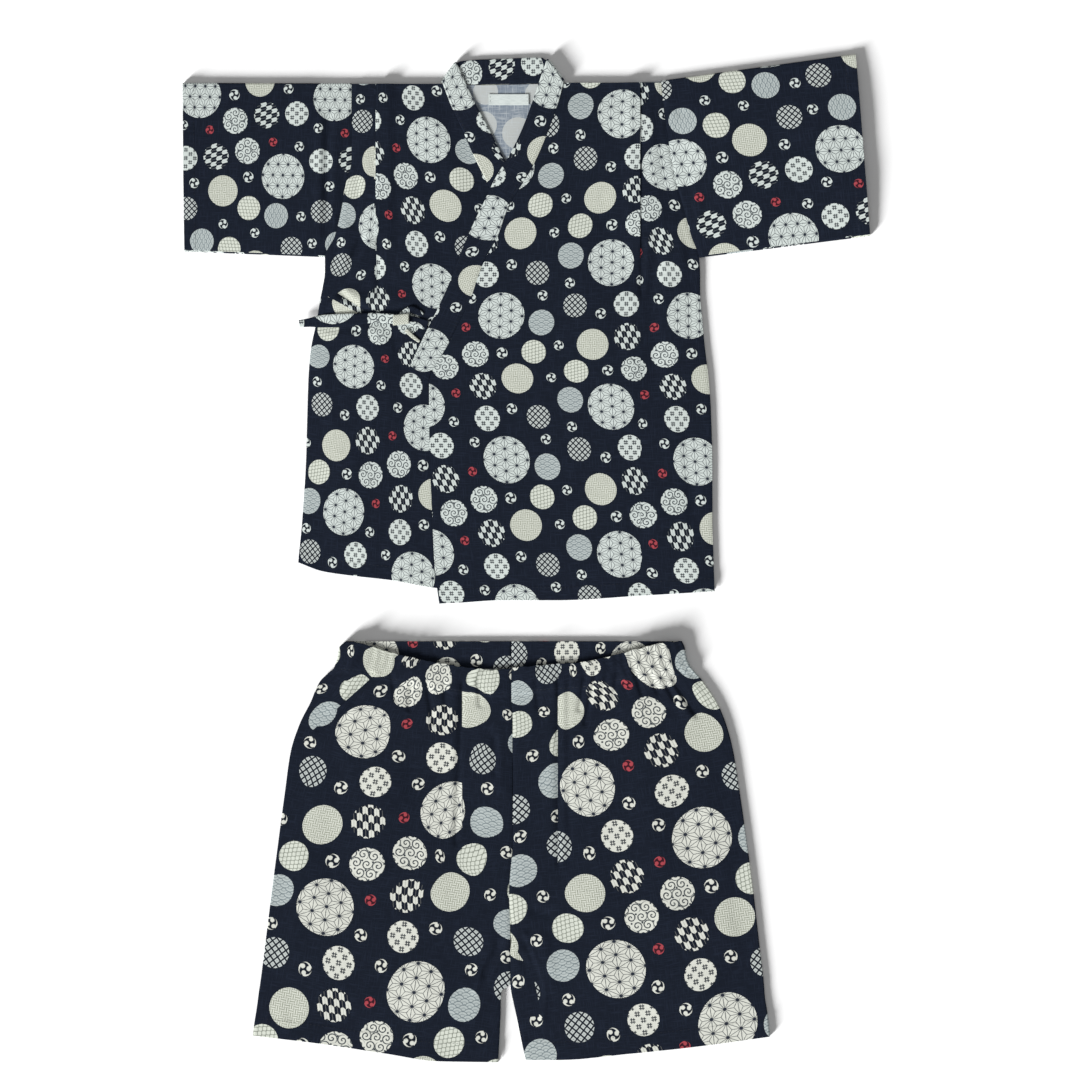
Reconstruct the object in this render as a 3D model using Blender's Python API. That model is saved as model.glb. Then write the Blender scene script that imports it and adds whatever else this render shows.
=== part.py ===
"""A child's jinbei set laid flat: a wrap jacket with its ties knotted, above a pair of shorts.

Sizes are in millimetres and MM turns them into metres. X runs across the set, Y runs up towards
the neck, and Z is the height above the surface that the set lies on. The origin is under the
middle of the set. Left and right are the wearer's: the right front is at -X, under the left front.
Every piece of cloth is a closed wall between a lower and an upper grid of points.
"""

import bmesh
import bpy
import numpy as np

MM = 0.001

CLOTH = 1.2  # wall of one layer
BAND = 2.2  # wall of a strip sewn double: collar, ties and waist casing
GAP = 0.3  # between pieces at seams, and between layers that lie on each other
FIRST = CLOTH + GAP  # underside of what lies on the back
SECOND = 4.0  # underside of what lies on the right front
FRONT_PUFF = 2.0  # how far the fronts stand off the back in their middle
SLEEVE_PUFF = 2.4
LEG_PUFF = 2.4
TUCK_DEPTH = 12.5  # a shoulder tuck's cloth, laid back towards the neck
TUCK_RISE = 1.4
TUCK_FADE = (290, 235)  # a tuck is sewn down to the first height and gone at the second
SOFT_SIDE = 35  # the fronts rise from the back over this width at their sides
SOFT_END = 30  # and over this one at the shoulder, the hem and the neck

SHOULDER = 427
CASING = 25  # waist casing, from its top edge to its stitching
GATHERS = 9  # in each leg's front
GATHER_RISE = 1.5
GATHER_LENGTH = 62

# The fronts: the neck or inner edge and the side seam at each height.
RIGHT_FRONT = np.array([  # height, inner, outer
    (427, -76, -158), (404, -67, -158), (385, -58, -158), (358, -46, -158), (338, -36, -163),
    (315, -27, -167), (290, -14, -173), (271, -4, -182), (258, 3, -182), (244, 10, -184),
    (234, 15, -186), (228, 18, -187), (222, 21, -188), (216, 23, -189), (206, 28, -191),
    (192, 35, -194), (175, 44, -196), (158, 52, -197), (124, 50, -198), (88, 50, -199),
    (52, 49, -201), (16, 48, -203), (-22, 46, -206),
])
LEFT_FRONT = np.array([  # height, inner, outer
    (428, 33, 121), (406, 27, 123), (379, 17, 127), (354, 6, 131), (332, -7, 136),
    (315, -17, 141), (290, -26, 148), (270, -37, 155), (253, -44, 156), (238, -49, 156),
    (214, -60, 158), (192, -71, 160), (158, -88, 164), (124, -88, 166), (79, -87, 167),
    (34, -85, 167), (-5, -83, 168), (-36, -79, 169),
])
RIGHT_TUCK, LEFT_TUCK = -135, 102

# The hems, from side to side: a piece's last row is moved onto its curve.
RIGHT_HEM = np.array([  # across, height
    (-206, -4), (-184, -12), (-157, -16), (-122, -20), (-82, -27), (46, -36),
])
LEFT_HEM = np.array([(-79, -41), (-58, -40), (-24, -38), (28, -38), (101, -34), (169, -30)])
HEM_FADE = 75  # above this height nothing of a hem's curve is left
BACK_HEM = np.array([(-206, -2), (-82, -24), (0, -30), (169, -29)])
BACK_TOP = np.array([  # the back's shoulders, and between them its lower neck edge
    (-158, 427), (-95, 427), (-85, 425.5), (50, 425.5), (60, 427.5), (121, 429.5),
])
BACK_ROW = -20  # the back's last row before it follows its hem
BACK_INSET = 1.5  # the back's side lies this far in from the right front's, below the sleeve

# Folds drawn into a panel: a soft line from one end to the other, up or down.
RIGHT_FRONT_FOLDS = [  # from x, from y, to x, to y, width, rise
    (-192, 220, -148, 222, 5, -2.0),  # pressed in above the ties
    (-148, 222, -88, 219, 5, -2.0),
    (-170, 240, -145, 222, 5, -1.6),  # the small fold that the knot pulls in
    (-147, 289, -187, 224, 6, -1.6),
    (-168, 262, -150, 236, 7, 1.4),
]
LEFT_FRONT_FOLDS = [
    (95, 240, 88, 150, 14, 1.2),  # what the tuck lets go
    (120, 60, 112, -30, 12, 0.8),
    (-10, 70, -14, -30, 14, 0.8),
]
RIGHT_SLEEVE_FOLDS = [
    (-179, 405, -181, 280, 5, -1.8),
    (-192, 395, -196, 290, 8, 1.2),
    (-255, 400, -300, 330, 14, 0.9),
]
LEFT_SLEEVE_FOLDS = [
    (139, 405, 150, 285, 5, -1.8),
    (160, 410, 168, 290, 8, 1.2),
    (240, 400, 292, 330, 14, 0.9),
]
RIGHT_LEG_FOLDS = [
    (-140, -104, -192, -158, 6, -2.2),  # the slanting fold that the waist draws in
    (-58, -110, -64, -260, 5, 1.4),
    (-29, -150, -27, -210, 6, 1.0),
    (-120, -130, -140, -330, 14, 1.2),
    (-40, -340, -28, -392, 5, -1.6),
]
LEFT_LEG_FOLDS = [
    (122, -112, 158, -146, 6, -2.2),
    (28, -110, 27, -280, 4, 1.4),
    (37, -110, 38, -280, 4, 1.2),
    (95, -130, 125, -330, 14, 1.2),
    (-5, -345, 8, -400, 5, -1.6),
]

# The collar: its free edge and its underside against the height of its sewn edge on each front,
# and its run behind the neck from the right shoulder to the left one.
RIGHT_ARM = np.array([  # height of the sewn edge, free edge's x and y, underside
    (158, 71, 169, FIRST), (192, 56, 203, FIRST), (216, 44, 227, FIRST), (258, 25, 268, FIRST),
    (290, 9, 299, FIRST), (315, -4, 325, FIRST), (338, -13, 346, FIRST), (358, -24, 366, FIRST),
    (385, -36, 390, FIRST), (404, -47, 410, BAND + GAP), (415, -54, 425, BAND + GAP),
    (427, -63, 445, BAND + GAP),
])
LEFT_ARM = np.array([
    (158, -107, 169, SECOND), (192, -93, 199, SECOND), (214, -82, 221, SECOND),
    (238, -71, 245, SECOND), (270, -59, 276, SECOND), (290, -50, 297, SECOND),
    (315, -37, 324, SECOND), (332, -29, 341, SECOND), (354, -15, 364, SECOND),
    (379, -4, 387, 3.6), (406, 6, 414, 2.9), (418, 12, 432, BAND + GAP),
    (428, 17.5, 448, BAND + GAP),
])
NECK = np.array([  # sewn edge's x and y, free edge's x and y
    (-75, 427.5, -62.5, 446.5), (-66, 427, -60, 447.5), (-44, 426.5, -44, 449),
    (-14, 427, -14, 450), (8, 427.5, 8, 451), (24, 428, 14, 450.5), (32, 429, 17, 448.5),
])

# Where the right front's collar ends under the left front, which comes down to the back past it.
HIDDEN_EDGE = np.array([  # height, across
    (155, 74), (169, 74), (213, 53), (253, 33), (292, 17), (326, 3), (355, -17), (380, -40),
])
STEP_DOWN = (2, 45)  # how far past it the left front starts to come down, and has come down
NECK_STEP = (362, 392)  # the heights between which the right front's neck edge runs out under it
HIDDEN_PUFF = 0.4  # share of the puff that is left where one front lies on the other
HIGHEST_FOLD, HIGHEST_HIDDEN_FOLD = 3.6, 0.9

# A sleeve's edges beyond its armhole: its seam's top and bottom height, then the cuff's two ends.
RIGHT_SLEEVE = (427.5, 271.0, -310, 428, -308.5, 276)
LEFT_SLEEVE = (430.0, 270.5, 296, 454, 309, 290)

FOLD_ROOM = 5  # no row lies closer to a sleeve's top fold or under-seam than this
SLEEVE_STATIONS = (0, 0.04, 0.1, 0.17, 0.25, 0.34, 0.45, 0.58, 0.7, 0.82, 0.92, 1)

# The shorts' legs: the centre or inner-leg edge and the outer fold at each height.
RIGHT_LEG = np.array([  # height, inner, outer
    (-75, -14, -163), (-80, -14, -169), (-90, -14, -171), (-99, -14, -174), (-101, -14, -176),
    (-112, -14, -187), (-130, -13, -195), (-150, -13, -205), (-175, -13, -213),
    (-210, -13, -218), (-255, -13, -224), (-301, -16, -230), (-345, -15, -235.5),
    (-384, -15, -240.5), (-390, -23, -241.5), (-412, -24, -244), (-442, -26, -247),
])
LEFT_LEG = np.array([
    (-75, -14, 139.5), (-80, -14, 142), (-90, -14, 144), (-99, -14, 148), (-101, -14, 150),
    (-112, -14, 159), (-130, -13, 171), (-150, -13, 179.5), (-175, -13, 186),
    (-210, -13, 191.5), (-255, -13, 198), (-301, -16, 204), (-345, -15, 209),
    (-384, -15, 213.5), (-392, -14, 214), (-412, -9, 216.5), (-442, -1, 219),
])
RIGHT_LEG_HEM = np.array([(-247, -430), (-196, -436), (-128, -446), (-79, -453), (-26, -454)])
LEFT_LEG_HEM = np.array([(0, -452), (25, -452), (95, -446), (160, -439), (219, -431)])
HEM_ROW = -442  # where a leg's last row lies before it follows its hem
LEG_HEM_FADE = -395  # above this height nothing of a leg's hem curve is left
WAIST_ROW = -75
CROTCH = (-330, -390)  # the legs' inner edges close to the back between these heights
FOLD_SHARE = 0.72  # the outer share of a leg's front comes down to its outer fold
# How far the front's waist edge hangs below the back's, across the waist.
WAIST_DROP = np.array([
    (-163, 0), (-148, 2), (-130, 8), (-96, 16), (-48, 24), (-32, 25.5), (-9, 23.5), (22, 20.5),
    (45, 19), (79, 12), (107, 5), (121, 1), (140, 0),
])
DROP_FADE = 110  # how far below the waist edge its drop is gone

# The ties lie on the right front: centre line, half width and height above it.
SIDE_TIE = [  # x, y, half width, above
    (-205, 210.5, 3.2, 0), (-196, 212, 3.6, 0), (-187, 213, 5.0, 0), (-172, 213.8, 6.6, 0),
    (-155, 214.6, 6.0, 0), (-140, 215, 5.2, 0), (-128, 215, 4.8, 0.6), (-116.5, 214.6, 4.4, 1.2),
]
FRONT_TIE = [
    (-108, 214.5, 4.0, 1.2), (-104, 214, 4.0, 0.9), (-98, 212.8, 4.2, 0.5),
    (-93, 211.8, 4.4, 0.3), (-89.5, 211.2, 4.4, 0.3),
]
SMALL_LOOP = [(-110.5, 221.2, 2.2, 1.2), (-104, 222.6, 3.0, 1.8), (-96.5, 219.8, 2.0, 0.9)]
TAIL = [(-108, 207.2, 2.2, 1.0), (-102, 203.5, 2.8, 0.5), (-95, 198.8, 2.4, 0.2)]
KNOT = (-112.5, 214.2, 5.6, 5.2, 2.4)  # middle x and y, half width, half height, thickness
KNOT_ABOVE = 3.6
LABEL = (-16.5, 412.5, 18, 5, 1.0)  # the same sizes


def curve(table, at, column=1):
    """A column of a table at some value of its first column, straight between its rows."""
    order = np.argsort(table[:, 0])
    return np.interp(at, table[order, 0], table[order, column])


def ease(value, start, end):
    """0 at start and before it, 1 at end and after it, with a soft step between them."""
    share = np.clip((value - start) / (end - start), 0, 1)
    return share * share * (3 - 2 * share)


def folds(table, x, y):
    """The rise of a panel's folds at some places: soft across each line, fading at its ends."""
    total = np.zeros(np.broadcast(x, y).shape)
    for from_x, from_y, to_x, to_y, width, rise in table:
        along_x, along_y = to_x - from_x, to_y - from_y
        length = np.hypot(along_x, along_y)
        along = ((x - from_x) * along_x + (y - from_y) * along_y) / length
        off = ((x - from_x) * along_y - (y - from_y) * along_x) / length
        fade = ease(along, -width, width) * ease(length - along, -width, width)
        total += rise * np.exp(-((off / width) ** 2)) * fade
    return total


def right_front_under(x, y):
    """Underside of the right front: off the back in the middle, low where the left front lies."""
    side = ease(x - curve(RIGHT_FRONT, y, 2), 0, SOFT_SIDE)
    ends = ease(SHOULDER - y, 0, SOFT_END) * ease(y - curve(RIGHT_HEM, x), 0, SOFT_END)
    neck = ease(curve(RIGHT_FRONT, y, 1) - x, 0, SOFT_END)
    edge = np.interp(y, LEFT_ARM[:, 2], LEFT_ARM[:, 1])
    edge = np.where(y < LEFT_ARM[0, 2], curve(LEFT_FRONT, y, 1), edge)
    covered = ease(x, edge - SOFT_END, edge - BAND)
    puff = FRONT_PUFF * side * ends * neck + folds(RIGHT_FRONT_FOLDS, x, y) * side
    highest = HIGHEST_FOLD + (HIGHEST_HIDDEN_FOLD - HIGHEST_FOLD) * covered
    return FIRST + np.clip(puff * (1 + (HIDDEN_PUFF - 1) * covered), 0, highest)


def left_front_under(x, y):
    """Underside of the left front: on the right front as far as that goes, then on the back."""
    side = ease(curve(LEFT_FRONT, y, 2) - x, 0, SOFT_SIDE)
    ends = ease(SHOULDER - y, 0, SOFT_END) * ease(y - curve(LEFT_HEM, x), 0, SOFT_END)
    puff = FRONT_PUFF * side * ends + folds(LEFT_FRONT_FOLDS, x, y) * side
    on_right = 1 - ease(x - curve(HIDDEN_EDGE, y), *STEP_DOWN)
    on_right = on_right * (1 - ease(y, *NECK_STEP))
    return FIRST + puff * (1 + (HIDDEN_PUFF - 1) * on_right) + (SECOND - FIRST) * on_right


def solid(name, points, faces, colour):
    """A closed body from its points in millimetres, with its faces turned outwards."""
    mesh = bpy.data.meshes.new(name)
    mesh.from_pydata([tuple(point) for point in np.asarray(points) * MM], [], faces)
    shape = bmesh.new()
    shape.from_mesh(mesh)
    bmesh.ops.triangulate(shape, faces=shape.faces)
    bmesh.ops.recalc_face_normals(shape, faces=shape.faces)
    shape.to_mesh(mesh)
    shape.free()
    material = bpy.data.materials.new(name)
    material.use_nodes = True
    finish = material.node_tree.nodes["Principled BSDF"].inputs
    finish["Base Color"].default_value = (*colour, 1)
    finish["Roughness"].default_value = 0.85
    finish["Metallic"].default_value = 0.0
    mesh.materials.append(material)
    piece = bpy.data.objects.new(name, mesh)
    bpy.context.scene.collection.objects.link(piece)
    return piece


def wall(name, lower, upper, colour, round_about=False):
    """A wall of cloth between two grids of points, joined along its open edges.

    The grids have rows, columns and three coordinates. A wall that goes round_about has its last
    column beside its first, as a sleeve's has.
    """
    rows, columns = lower.shape[:2]
    points = np.concatenate([lower.reshape(-1, 3), upper.reshape(-1, 3)])
    step = rows * columns
    faces = []
    last = columns if round_about else columns - 1
    for row in range(rows - 1):
        for column in range(last):
            beside = (column + 1) % columns
            corners = [row * columns + column, row * columns + beside]
            corners += [corners[1] + columns, corners[0] + columns]
            faces.append(corners)
            faces.append([corner + step for corner in reversed(corners)])
    for row in (0, rows - 1):
        for column in range(last):
            first, second = row * columns + column, row * columns + (column + 1) % columns
            faces.append([first, second, second + step, first + step])
    if not round_about:
        for column in (0, columns - 1):
            for row in range(rows - 1):
                first, second = row * columns + column, (row + 1) * columns + column
                faces.append([first, second, second + step, first + step])
    return solid(name, points, faces, colour)


def back(colour):
    """The back, flat on the surface, a seam's gap inside the sleeves."""
    heights = np.concatenate([RIGHT_FRONT[:-1, 0], LEFT_FRONT[1:-2, 0], [BACK_ROW]])
    heights = np.unique(heights)[::-1]
    rows = []
    for height in heights:
        under_sleeve = height < RIGHT_SLEEVE[1]
        left = curve(RIGHT_FRONT, height, 2) + GAP + (BACK_INSET if under_sleeve else 0)
        right = curve(LEFT_FRONT, height, 2) - GAP
        x = np.concatenate([[left], np.linspace(-95, 60, 5), [right]])
        y = height + (curve(BACK_HEM, x) - BACK_ROW) * (1 - ease(height, BACK_ROW, HEM_FADE))
        y = np.where(height >= SHOULDER, curve(BACK_TOP, x) - GAP, y)
        rows.append(np.stack([x, y, np.zeros_like(x)], axis=1))
    lower = np.array(rows)
    return wall("back", lower, lower + (0, 0, CLOTH), colour)


def front(name, table, tuck, hem, under, colour):
    """A front: columns from the side to the tuck, over its ridge, and on to the inner edge."""
    outside, inside = 5, 11
    lower, upper = [], []
    for height, inner, outer in table:
        side = np.sign(outer - inner)
        outer -= side * GAP
        inner += side * 1.5 * GAP
        foot, top, back_edge, end = tuck - side * np.array([-0.5, 0.5, TUCK_DEPTH, TUCK_DEPTH + 6])
        x = np.concatenate([
            np.linspace(outer, foot, outside), [top, back_edge], np.linspace(end, inner, inside),
        ])
        y = height + (curve(hem, x) - table[-1, 0]) * (1 - ease(height, table[-1, 0], HEM_FADE))
        rise = np.zeros_like(x)
        rise[outside:outside + 2] = TUCK_RISE * ease(height, TUCK_FADE[1], TUCK_FADE[0])
        z = under(x, y)
        lower.append(np.stack([x, y, z], axis=1))
        upper.append(np.stack([x, y, z + CLOTH + rise], axis=1))
    return wall(name, np.array(lower), np.array(upper), colour)


def arm(front_table, free_table):
    """The collar's sections along a front, from its end up to the shoulder, facing up."""
    heights = np.unique(np.append(front_table[:, 0], free_table[:, 0]))
    heights = heights[(heights >= free_table[0, 0]) & (heights <= free_table[-1, 0])]
    free = [curve(free_table, heights, column) for column in (1, 2, 3)]
    level = np.zeros_like(heights)
    return np.stack([curve(front_table, heights), heights, *free, level, level, level + 1], axis=1)


def turned_over(before, after, neck_middle):
    """The sections of a strip's turn between two layers, bulging away from the neck."""
    edge = (before + after) / 2
    line = edge[2:4] - edge[:2]
    out = np.array([line[1], -line[0]]) / np.hypot(*line)
    out *= -np.sign(out @ (neck_middle - edge[:2]))
    radius = (BAND + GAP) / 2
    angles = np.radians([-60, 0, 60]) * np.sign(after[4] - before[4])
    facing = np.column_stack([out * np.cos(angles)[:, None], np.sin(angles)])
    shift = facing[:, :2] * radius
    under = radius + radius * np.sin(angles)
    return np.column_stack([edge[:2] + shift, edge[2:4] + shift, under, facing])


def collar(colour):
    """The collar: a doubled strip, turned over itself on each side of the neck."""
    right, left = arm(RIGHT_FRONT, RIGHT_ARM), arm(LEFT_FRONT, LEFT_ARM)[::-1]
    neck = np.column_stack([NECK, np.tile([0, 0, 0, -1], (len(NECK), 1))])
    middle = (NECK[0, :2] + NECK[-1, :2]) / 2
    sections = np.concatenate([
        right, turned_over(right[-1], neck[0], middle), neck,
        turned_over(neck[-1], left[0], middle), left,
    ])
    sewn, free, under, facing = sections[:, :2], sections[:, 2:4], sections[:, 4:5], sections[:, 5:]
    line = np.concatenate([(sewn + free) / 2, under + BAND / 2], axis=1)
    across = np.concatenate([free - sewn, 0 * under], axis=1)
    grid = line[:, None] + across[:, None] * np.linspace(-0.5, 0.5, 5)[None, :, None]
    inside = grid - facing[:, None] * BAND / 2
    return wall("collar", inside, inside + facing[:, None] * BAND, colour)


def sleeve(name, sizes, body, fold_table, colour):
    """A sleeve pressed flat: a ring of cloth round its top fold and under-seam at each station."""
    seam_top, seam_bottom, cuff_top_x, cuff_top, cuff_bottom_x, cuff_bottom = sizes
    inner_radius = GAP / 2
    outer_radius = inner_radius + CLOTH
    heights = body[:, 0]
    heights = heights[(heights < seam_top - FOLD_ROOM) & (heights > seam_bottom + FOLD_ROOM)]
    shares = (seam_top - heights) / (seam_top - seam_bottom)
    outwards = np.sign(cuff_top_x)
    turn = np.radians([-60, -20, 20, 60])
    flat = len(shares) + 2
    lower, upper = [], []
    for station in SLEEVE_STATIONS:
        top = seam_top + (cuff_top - seam_top) * station
        bottom = seam_bottom + (cuff_bottom - seam_bottom) * station
        edge = outer_radius / (top - bottom)
        down = top + (bottom - top) * np.array([edge, *shares, 1 - edge])
        grids = []
        for radius, low, rise in ((outer_radius, 0, CLOTH), (inner_radius, CLOTH, 0)):
            y = np.concatenate([
                down, bottom + outer_radius - radius * np.cos(turn),
                down[::-1], top - outer_radius + radius * np.cos(turn),
            ])
            share = np.clip((top - y) / (top - bottom), 0, 1)
            seam_x = curve(body, seam_top + (seam_bottom - seam_top) * share, 2) + outwards * GAP
            cuff_x = cuff_top_x + (cuff_bottom_x - cuff_top_x) * share
            x = seam_x + (cuff_x - seam_x) * station
            puff = SLEEVE_PUFF * np.sin(np.pi * share) ** 0.7 * ease(station, 0, 0.2)
            puff = np.clip(puff + folds(fold_table, x, y) * np.sin(np.pi * share), 0, None)
            z = np.full_like(y, low)
            z[flat:-flat - len(turn)] = outer_radius + radius * np.sin(turn)
            z[flat + len(turn):-len(turn)] = FIRST + rise + puff[flat + len(turn):-len(turn)]
            z[-len(turn):] = outer_radius - radius * np.sin(turn)
            grids.append(np.stack([x, y, z], axis=1))
        lower.append(grids[0])
        upper.append(grids[1])
    return wall(name, np.array(lower), np.array(upper), colour, round_about=True)


def leg_under(x, y, table, fold_table):
    """Underside of a leg's front, over its back: the casing, the gathers and the soft middle."""
    inner, outer = curve(table, y, 1), curve(table, y, 2)
    share = np.clip((x - inner) / (outer - inner), 0, 1)
    closed = ease(-y, -CROTCH[0], -CROTCH[1])
    centre = 1 - closed * (1 - ease(share, 0, 1 - FOLD_SHARE))
    sides = (1 - ease(share, FOLD_SHARE, 1)) * centre
    top = 0.3 + 0.7 * ease(WAIST_ROW - y, 0, GATHER_LENGTH)
    hem = 0.3 + 0.7 * ease(y - HEM_ROW, 0, GATHER_LENGTH)
    puff = LEG_PUFF * sides * top * hem + folds(fold_table, x, y) * sides
    fade = 1 - ease(WAIST_ROW - CASING / 2 - y, 0, GATHER_LENGTH)
    gathers = GATHER_RISE * fade * (0.5 - 0.5 * np.cos(2 * np.pi * GATHERS * share))
    return GAP + np.clip(puff, 0, None) + gathers * (1 - ease(share, 1 - 0.5 / GATHERS, 1))


def leg(name, table, fold_table, hem_table, colour):
    """A leg in one piece: in along its back, round the outer fold, and back along its front."""
    behind = np.linspace(0, 1, 6)
    turn = np.radians([-55, 0, 55])
    ahead = np.linspace(1, 0, 4 * GATHERS + 1)  # four columns for each gather
    fold, first = len(behind), len(behind) + len(turn)
    outwards = np.sign(table[0, 2] - table[0, 1])
    lower, upper = [], []
    for height, inner, outer in table:
        inner += outwards * GAP / 2
        cloth = BAND if height > WAIST_ROW - CASING else CLOTH
        inner_radius = GAP / 2
        outer_radius = inner_radius + cloth
        centre = outer - outwards * outer_radius
        grids = []
        for radius, low, rise in ((outer_radius, 0, cloth), (inner_radius, cloth, 0)):
            x = np.concatenate([
                inner + (centre - inner) * behind,
                centre + outwards * radius * np.cos(turn),
                inner + (centre - inner) * ahead,
            ])
            drop = curve(WAIST_DROP, x) * (1 - ease(WAIST_ROW - height, 0, DROP_FADE))
            is_front = np.concatenate([0 * behind, 0.5 + 0.5 * np.sin(turn), 0 * ahead + 1])
            y = height - drop * is_front
            y = y + (curve(hem_table, x) - HEM_ROW) * ease(-height, -LEG_HEM_FADE, -HEM_ROW)
            z = np.full_like(x, low)
            z[fold:first] = outer_radius + radius * np.sin(turn)
            z[first:] = cloth + rise + leg_under(x[first:], y[first:], table, fold_table)
            grids.append(np.stack([x, y, z], axis=1))
        lower.append(grids[0])
        upper.append(grids[1])
    return wall(name, np.array(lower), np.array(upper), colour)


def tie(name, table, colour):
    """A tie's flat run on the right front, made from the front's own points and moved up."""
    table = np.array(table)
    along = np.gradient(table[:, :2], axis=0)
    along /= np.linalg.norm(along, axis=1)[:, None]
    across = np.stack([-along[:, 1], along[:, 0]], axis=1)
    shares = np.array([-1, 0, 1])
    place = table[:, None, :2] + across[:, None] * shares[None, :, None] * table[:, None, 2:3]
    z = right_front_under(place[..., 0], place[..., 1]) + CLOTH + GAP
    z = z.max(axis=1)[:, None] + table[:, 3:4] + 0 * z
    lower = np.concatenate([place, z[..., None]], axis=2)
    return wall(name, lower, lower + (0, 0, CLOTH), colour)


def patch(name, x, y, half_width, half_height, thickness, under, colour):
    """A small flat block of cloth with its long edges rounded off: the knot or the label."""
    places = np.linspace(-1, 1, 7)
    round_off = 1 - 0.55 * places**4
    rows_y = y + half_height * places
    lower = np.array([[(x + half_width * side, row, under) for row in rows_y] for side in (-1, 1)])
    upper = lower.copy()
    upper[..., 2] += thickness * round_off[None, :]
    return wall(name, lower, upper, colour)


for startup_object in list(bpy.data.objects):
    bpy.data.objects.remove(startup_object)

NAVY = (0.012, 0.018, 0.045)
PALE = (0.62, 0.66, 0.70)

back(NAVY)
front("right_front", RIGHT_FRONT, RIGHT_TUCK, RIGHT_HEM, right_front_under, NAVY)
front("left_front", LEFT_FRONT, LEFT_TUCK, LEFT_HEM, left_front_under, NAVY)
sleeve("right_sleeve", RIGHT_SLEEVE, RIGHT_FRONT, RIGHT_SLEEVE_FOLDS, NAVY)
sleeve("left_sleeve", LEFT_SLEEVE, LEFT_FRONT, LEFT_SLEEVE_FOLDS, NAVY)
collar(NAVY)
tie("side_tie", SIDE_TIE, NAVY)
tie("front_tie", FRONT_TIE, NAVY)
tie("tie_loop", SMALL_LOOP, NAVY)
tie("tie_tail", TAIL, NAVY)
patch("tie_knot", *KNOT, right_front_under(*KNOT[:2]) + CLOTH + KNOT_ABOVE, NAVY)
patch("neck_label", *LABEL, FIRST, PALE)
leg("right_leg", RIGHT_LEG, RIGHT_LEG_FOLDS, RIGHT_LEG_HEM, NAVY)
leg("left_leg", LEFT_LEG, LEFT_LEG_FOLDS, LEFT_LEG_HEM, NAVY)
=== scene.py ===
"""A child's jinbei set laid flat: a wrap jacket with its ties knotted, above a pair of shorts.

The cloth is slub cotton printed with roundels of traditional patterns. Sizes are in millimetres
and MM turns them into metres. X runs across the set, Y up towards the neck, and Z is the height
above the surface. Left and right are the wearer's, so the right front lies at -X.
"""

import math

import bmesh
import bpy
import numpy as np
from mathutils.bvhtree import BVHTree
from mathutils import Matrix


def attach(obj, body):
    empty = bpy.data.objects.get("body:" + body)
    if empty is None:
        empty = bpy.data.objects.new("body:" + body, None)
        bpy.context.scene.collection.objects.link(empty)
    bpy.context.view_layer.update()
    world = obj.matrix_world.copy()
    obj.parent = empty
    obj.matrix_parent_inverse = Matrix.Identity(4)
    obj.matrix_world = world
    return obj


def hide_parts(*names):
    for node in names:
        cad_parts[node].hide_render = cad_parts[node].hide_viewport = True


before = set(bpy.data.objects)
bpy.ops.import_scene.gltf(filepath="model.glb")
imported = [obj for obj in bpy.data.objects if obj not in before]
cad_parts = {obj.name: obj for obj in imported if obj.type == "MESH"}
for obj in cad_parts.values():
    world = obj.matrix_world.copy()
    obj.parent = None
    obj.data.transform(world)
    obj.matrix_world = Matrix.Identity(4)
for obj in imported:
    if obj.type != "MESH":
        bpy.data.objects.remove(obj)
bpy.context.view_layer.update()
bpy.ops.object.select_all(action="DESELECT")

MM = 0.001

# ---------------------------------------------------------------------------------------------
# Camera: it hangs straight above the middle of the set and looks down.

VIEW_MIDDLE = (11.7, 16.2)
VIEW_WIDTH = 972
CLOTH_LEVEL = 4
LENS, SENSOR = 100, 36

bpy.ops.object.camera_add(
    location=(
        VIEW_MIDDLE[0] * MM,
        VIEW_MIDDLE[1] * MM,
        (CLOTH_LEVEL + VIEW_WIDTH * LENS / SENSOR) * MM,
    ),
    rotation=(0, 0, 0),
)
camera = bpy.context.object
camera.data.lens = LENS
camera.data.sensor_width = SENSOR
camera.data.clip_end = 20
bpy.context.scene.camera = camera


# ---------------------------------------------------------------------------------------------
# Floor and light: matt white card. A soft lamp lights the cloth from the lower left, and a low
# one beside it rakes over the card, so that the set throws a soft shadow to the upper right.


def linear(hex_colour):
    """An sRGB hex colour as the linear numbers that a shader takes."""
    shares = [int(hex_colour[at:at + 2], 16) / 255 for at in (1, 3, 5)]
    return (*[s / 12.92 if s <= 0.04045 else ((s + 0.055) / 1.055) ** 2.4 for s in shares], 1)


def finished(name, settings):
    """A new material with some settings of its finish, its node tree, and the finish's inputs."""
    material = bpy.data.materials.new(name)
    material.use_nodes = True
    finish = material.node_tree.nodes["Principled BSDF"].inputs
    for setting, value in settings.items():
        finish[setting].default_value = value
    return material, material.node_tree, finish


FLOOR_SIZE = 9  # metres
FLOOR_COLOUR = "#f4f4f4"
ROOM_LIGHT = 0.3
LAMP_BEARING = -45
LAMPS = [  # name, elevation, width, strength, whether it lights the card alone
    ("cloth_lamp", 38, 28, 3.5, False),
    ("card_lamp", 11, 15, 15.9, True),
]

bpy.ops.mesh.primitive_plane_add(size=FLOOR_SIZE, location=(0, 0, 0))
floor = bpy.context.object
floor.name = "floor"
card, _, _ = finished("matt_card", {
    "Base Color": linear(FLOOR_COLOUR), "Roughness": 0.9, "Specular IOR Level": 0.0})
floor.data.materials.append(card)

for name, elevation, width, strength, card_alone in LAMPS:
    bpy.ops.object.light_add(type="SUN")
    lamp = bpy.context.object
    lamp.name = name
    lamp.data.energy = strength
    lamp.data.angle = math.radians(width)
    lamp.rotation_euler = (math.radians(90 - elevation), 0, math.radians(LAMP_BEARING))
    lit = bpy.data.collections.new(name + "_lights")
    lit.objects.link(floor)
    lit.collection_objects[0].light_linking.link_state = "INCLUDE" if card_alone else "EXCLUDE"
    lamp.light_linking.receiver_collection = lit

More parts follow.
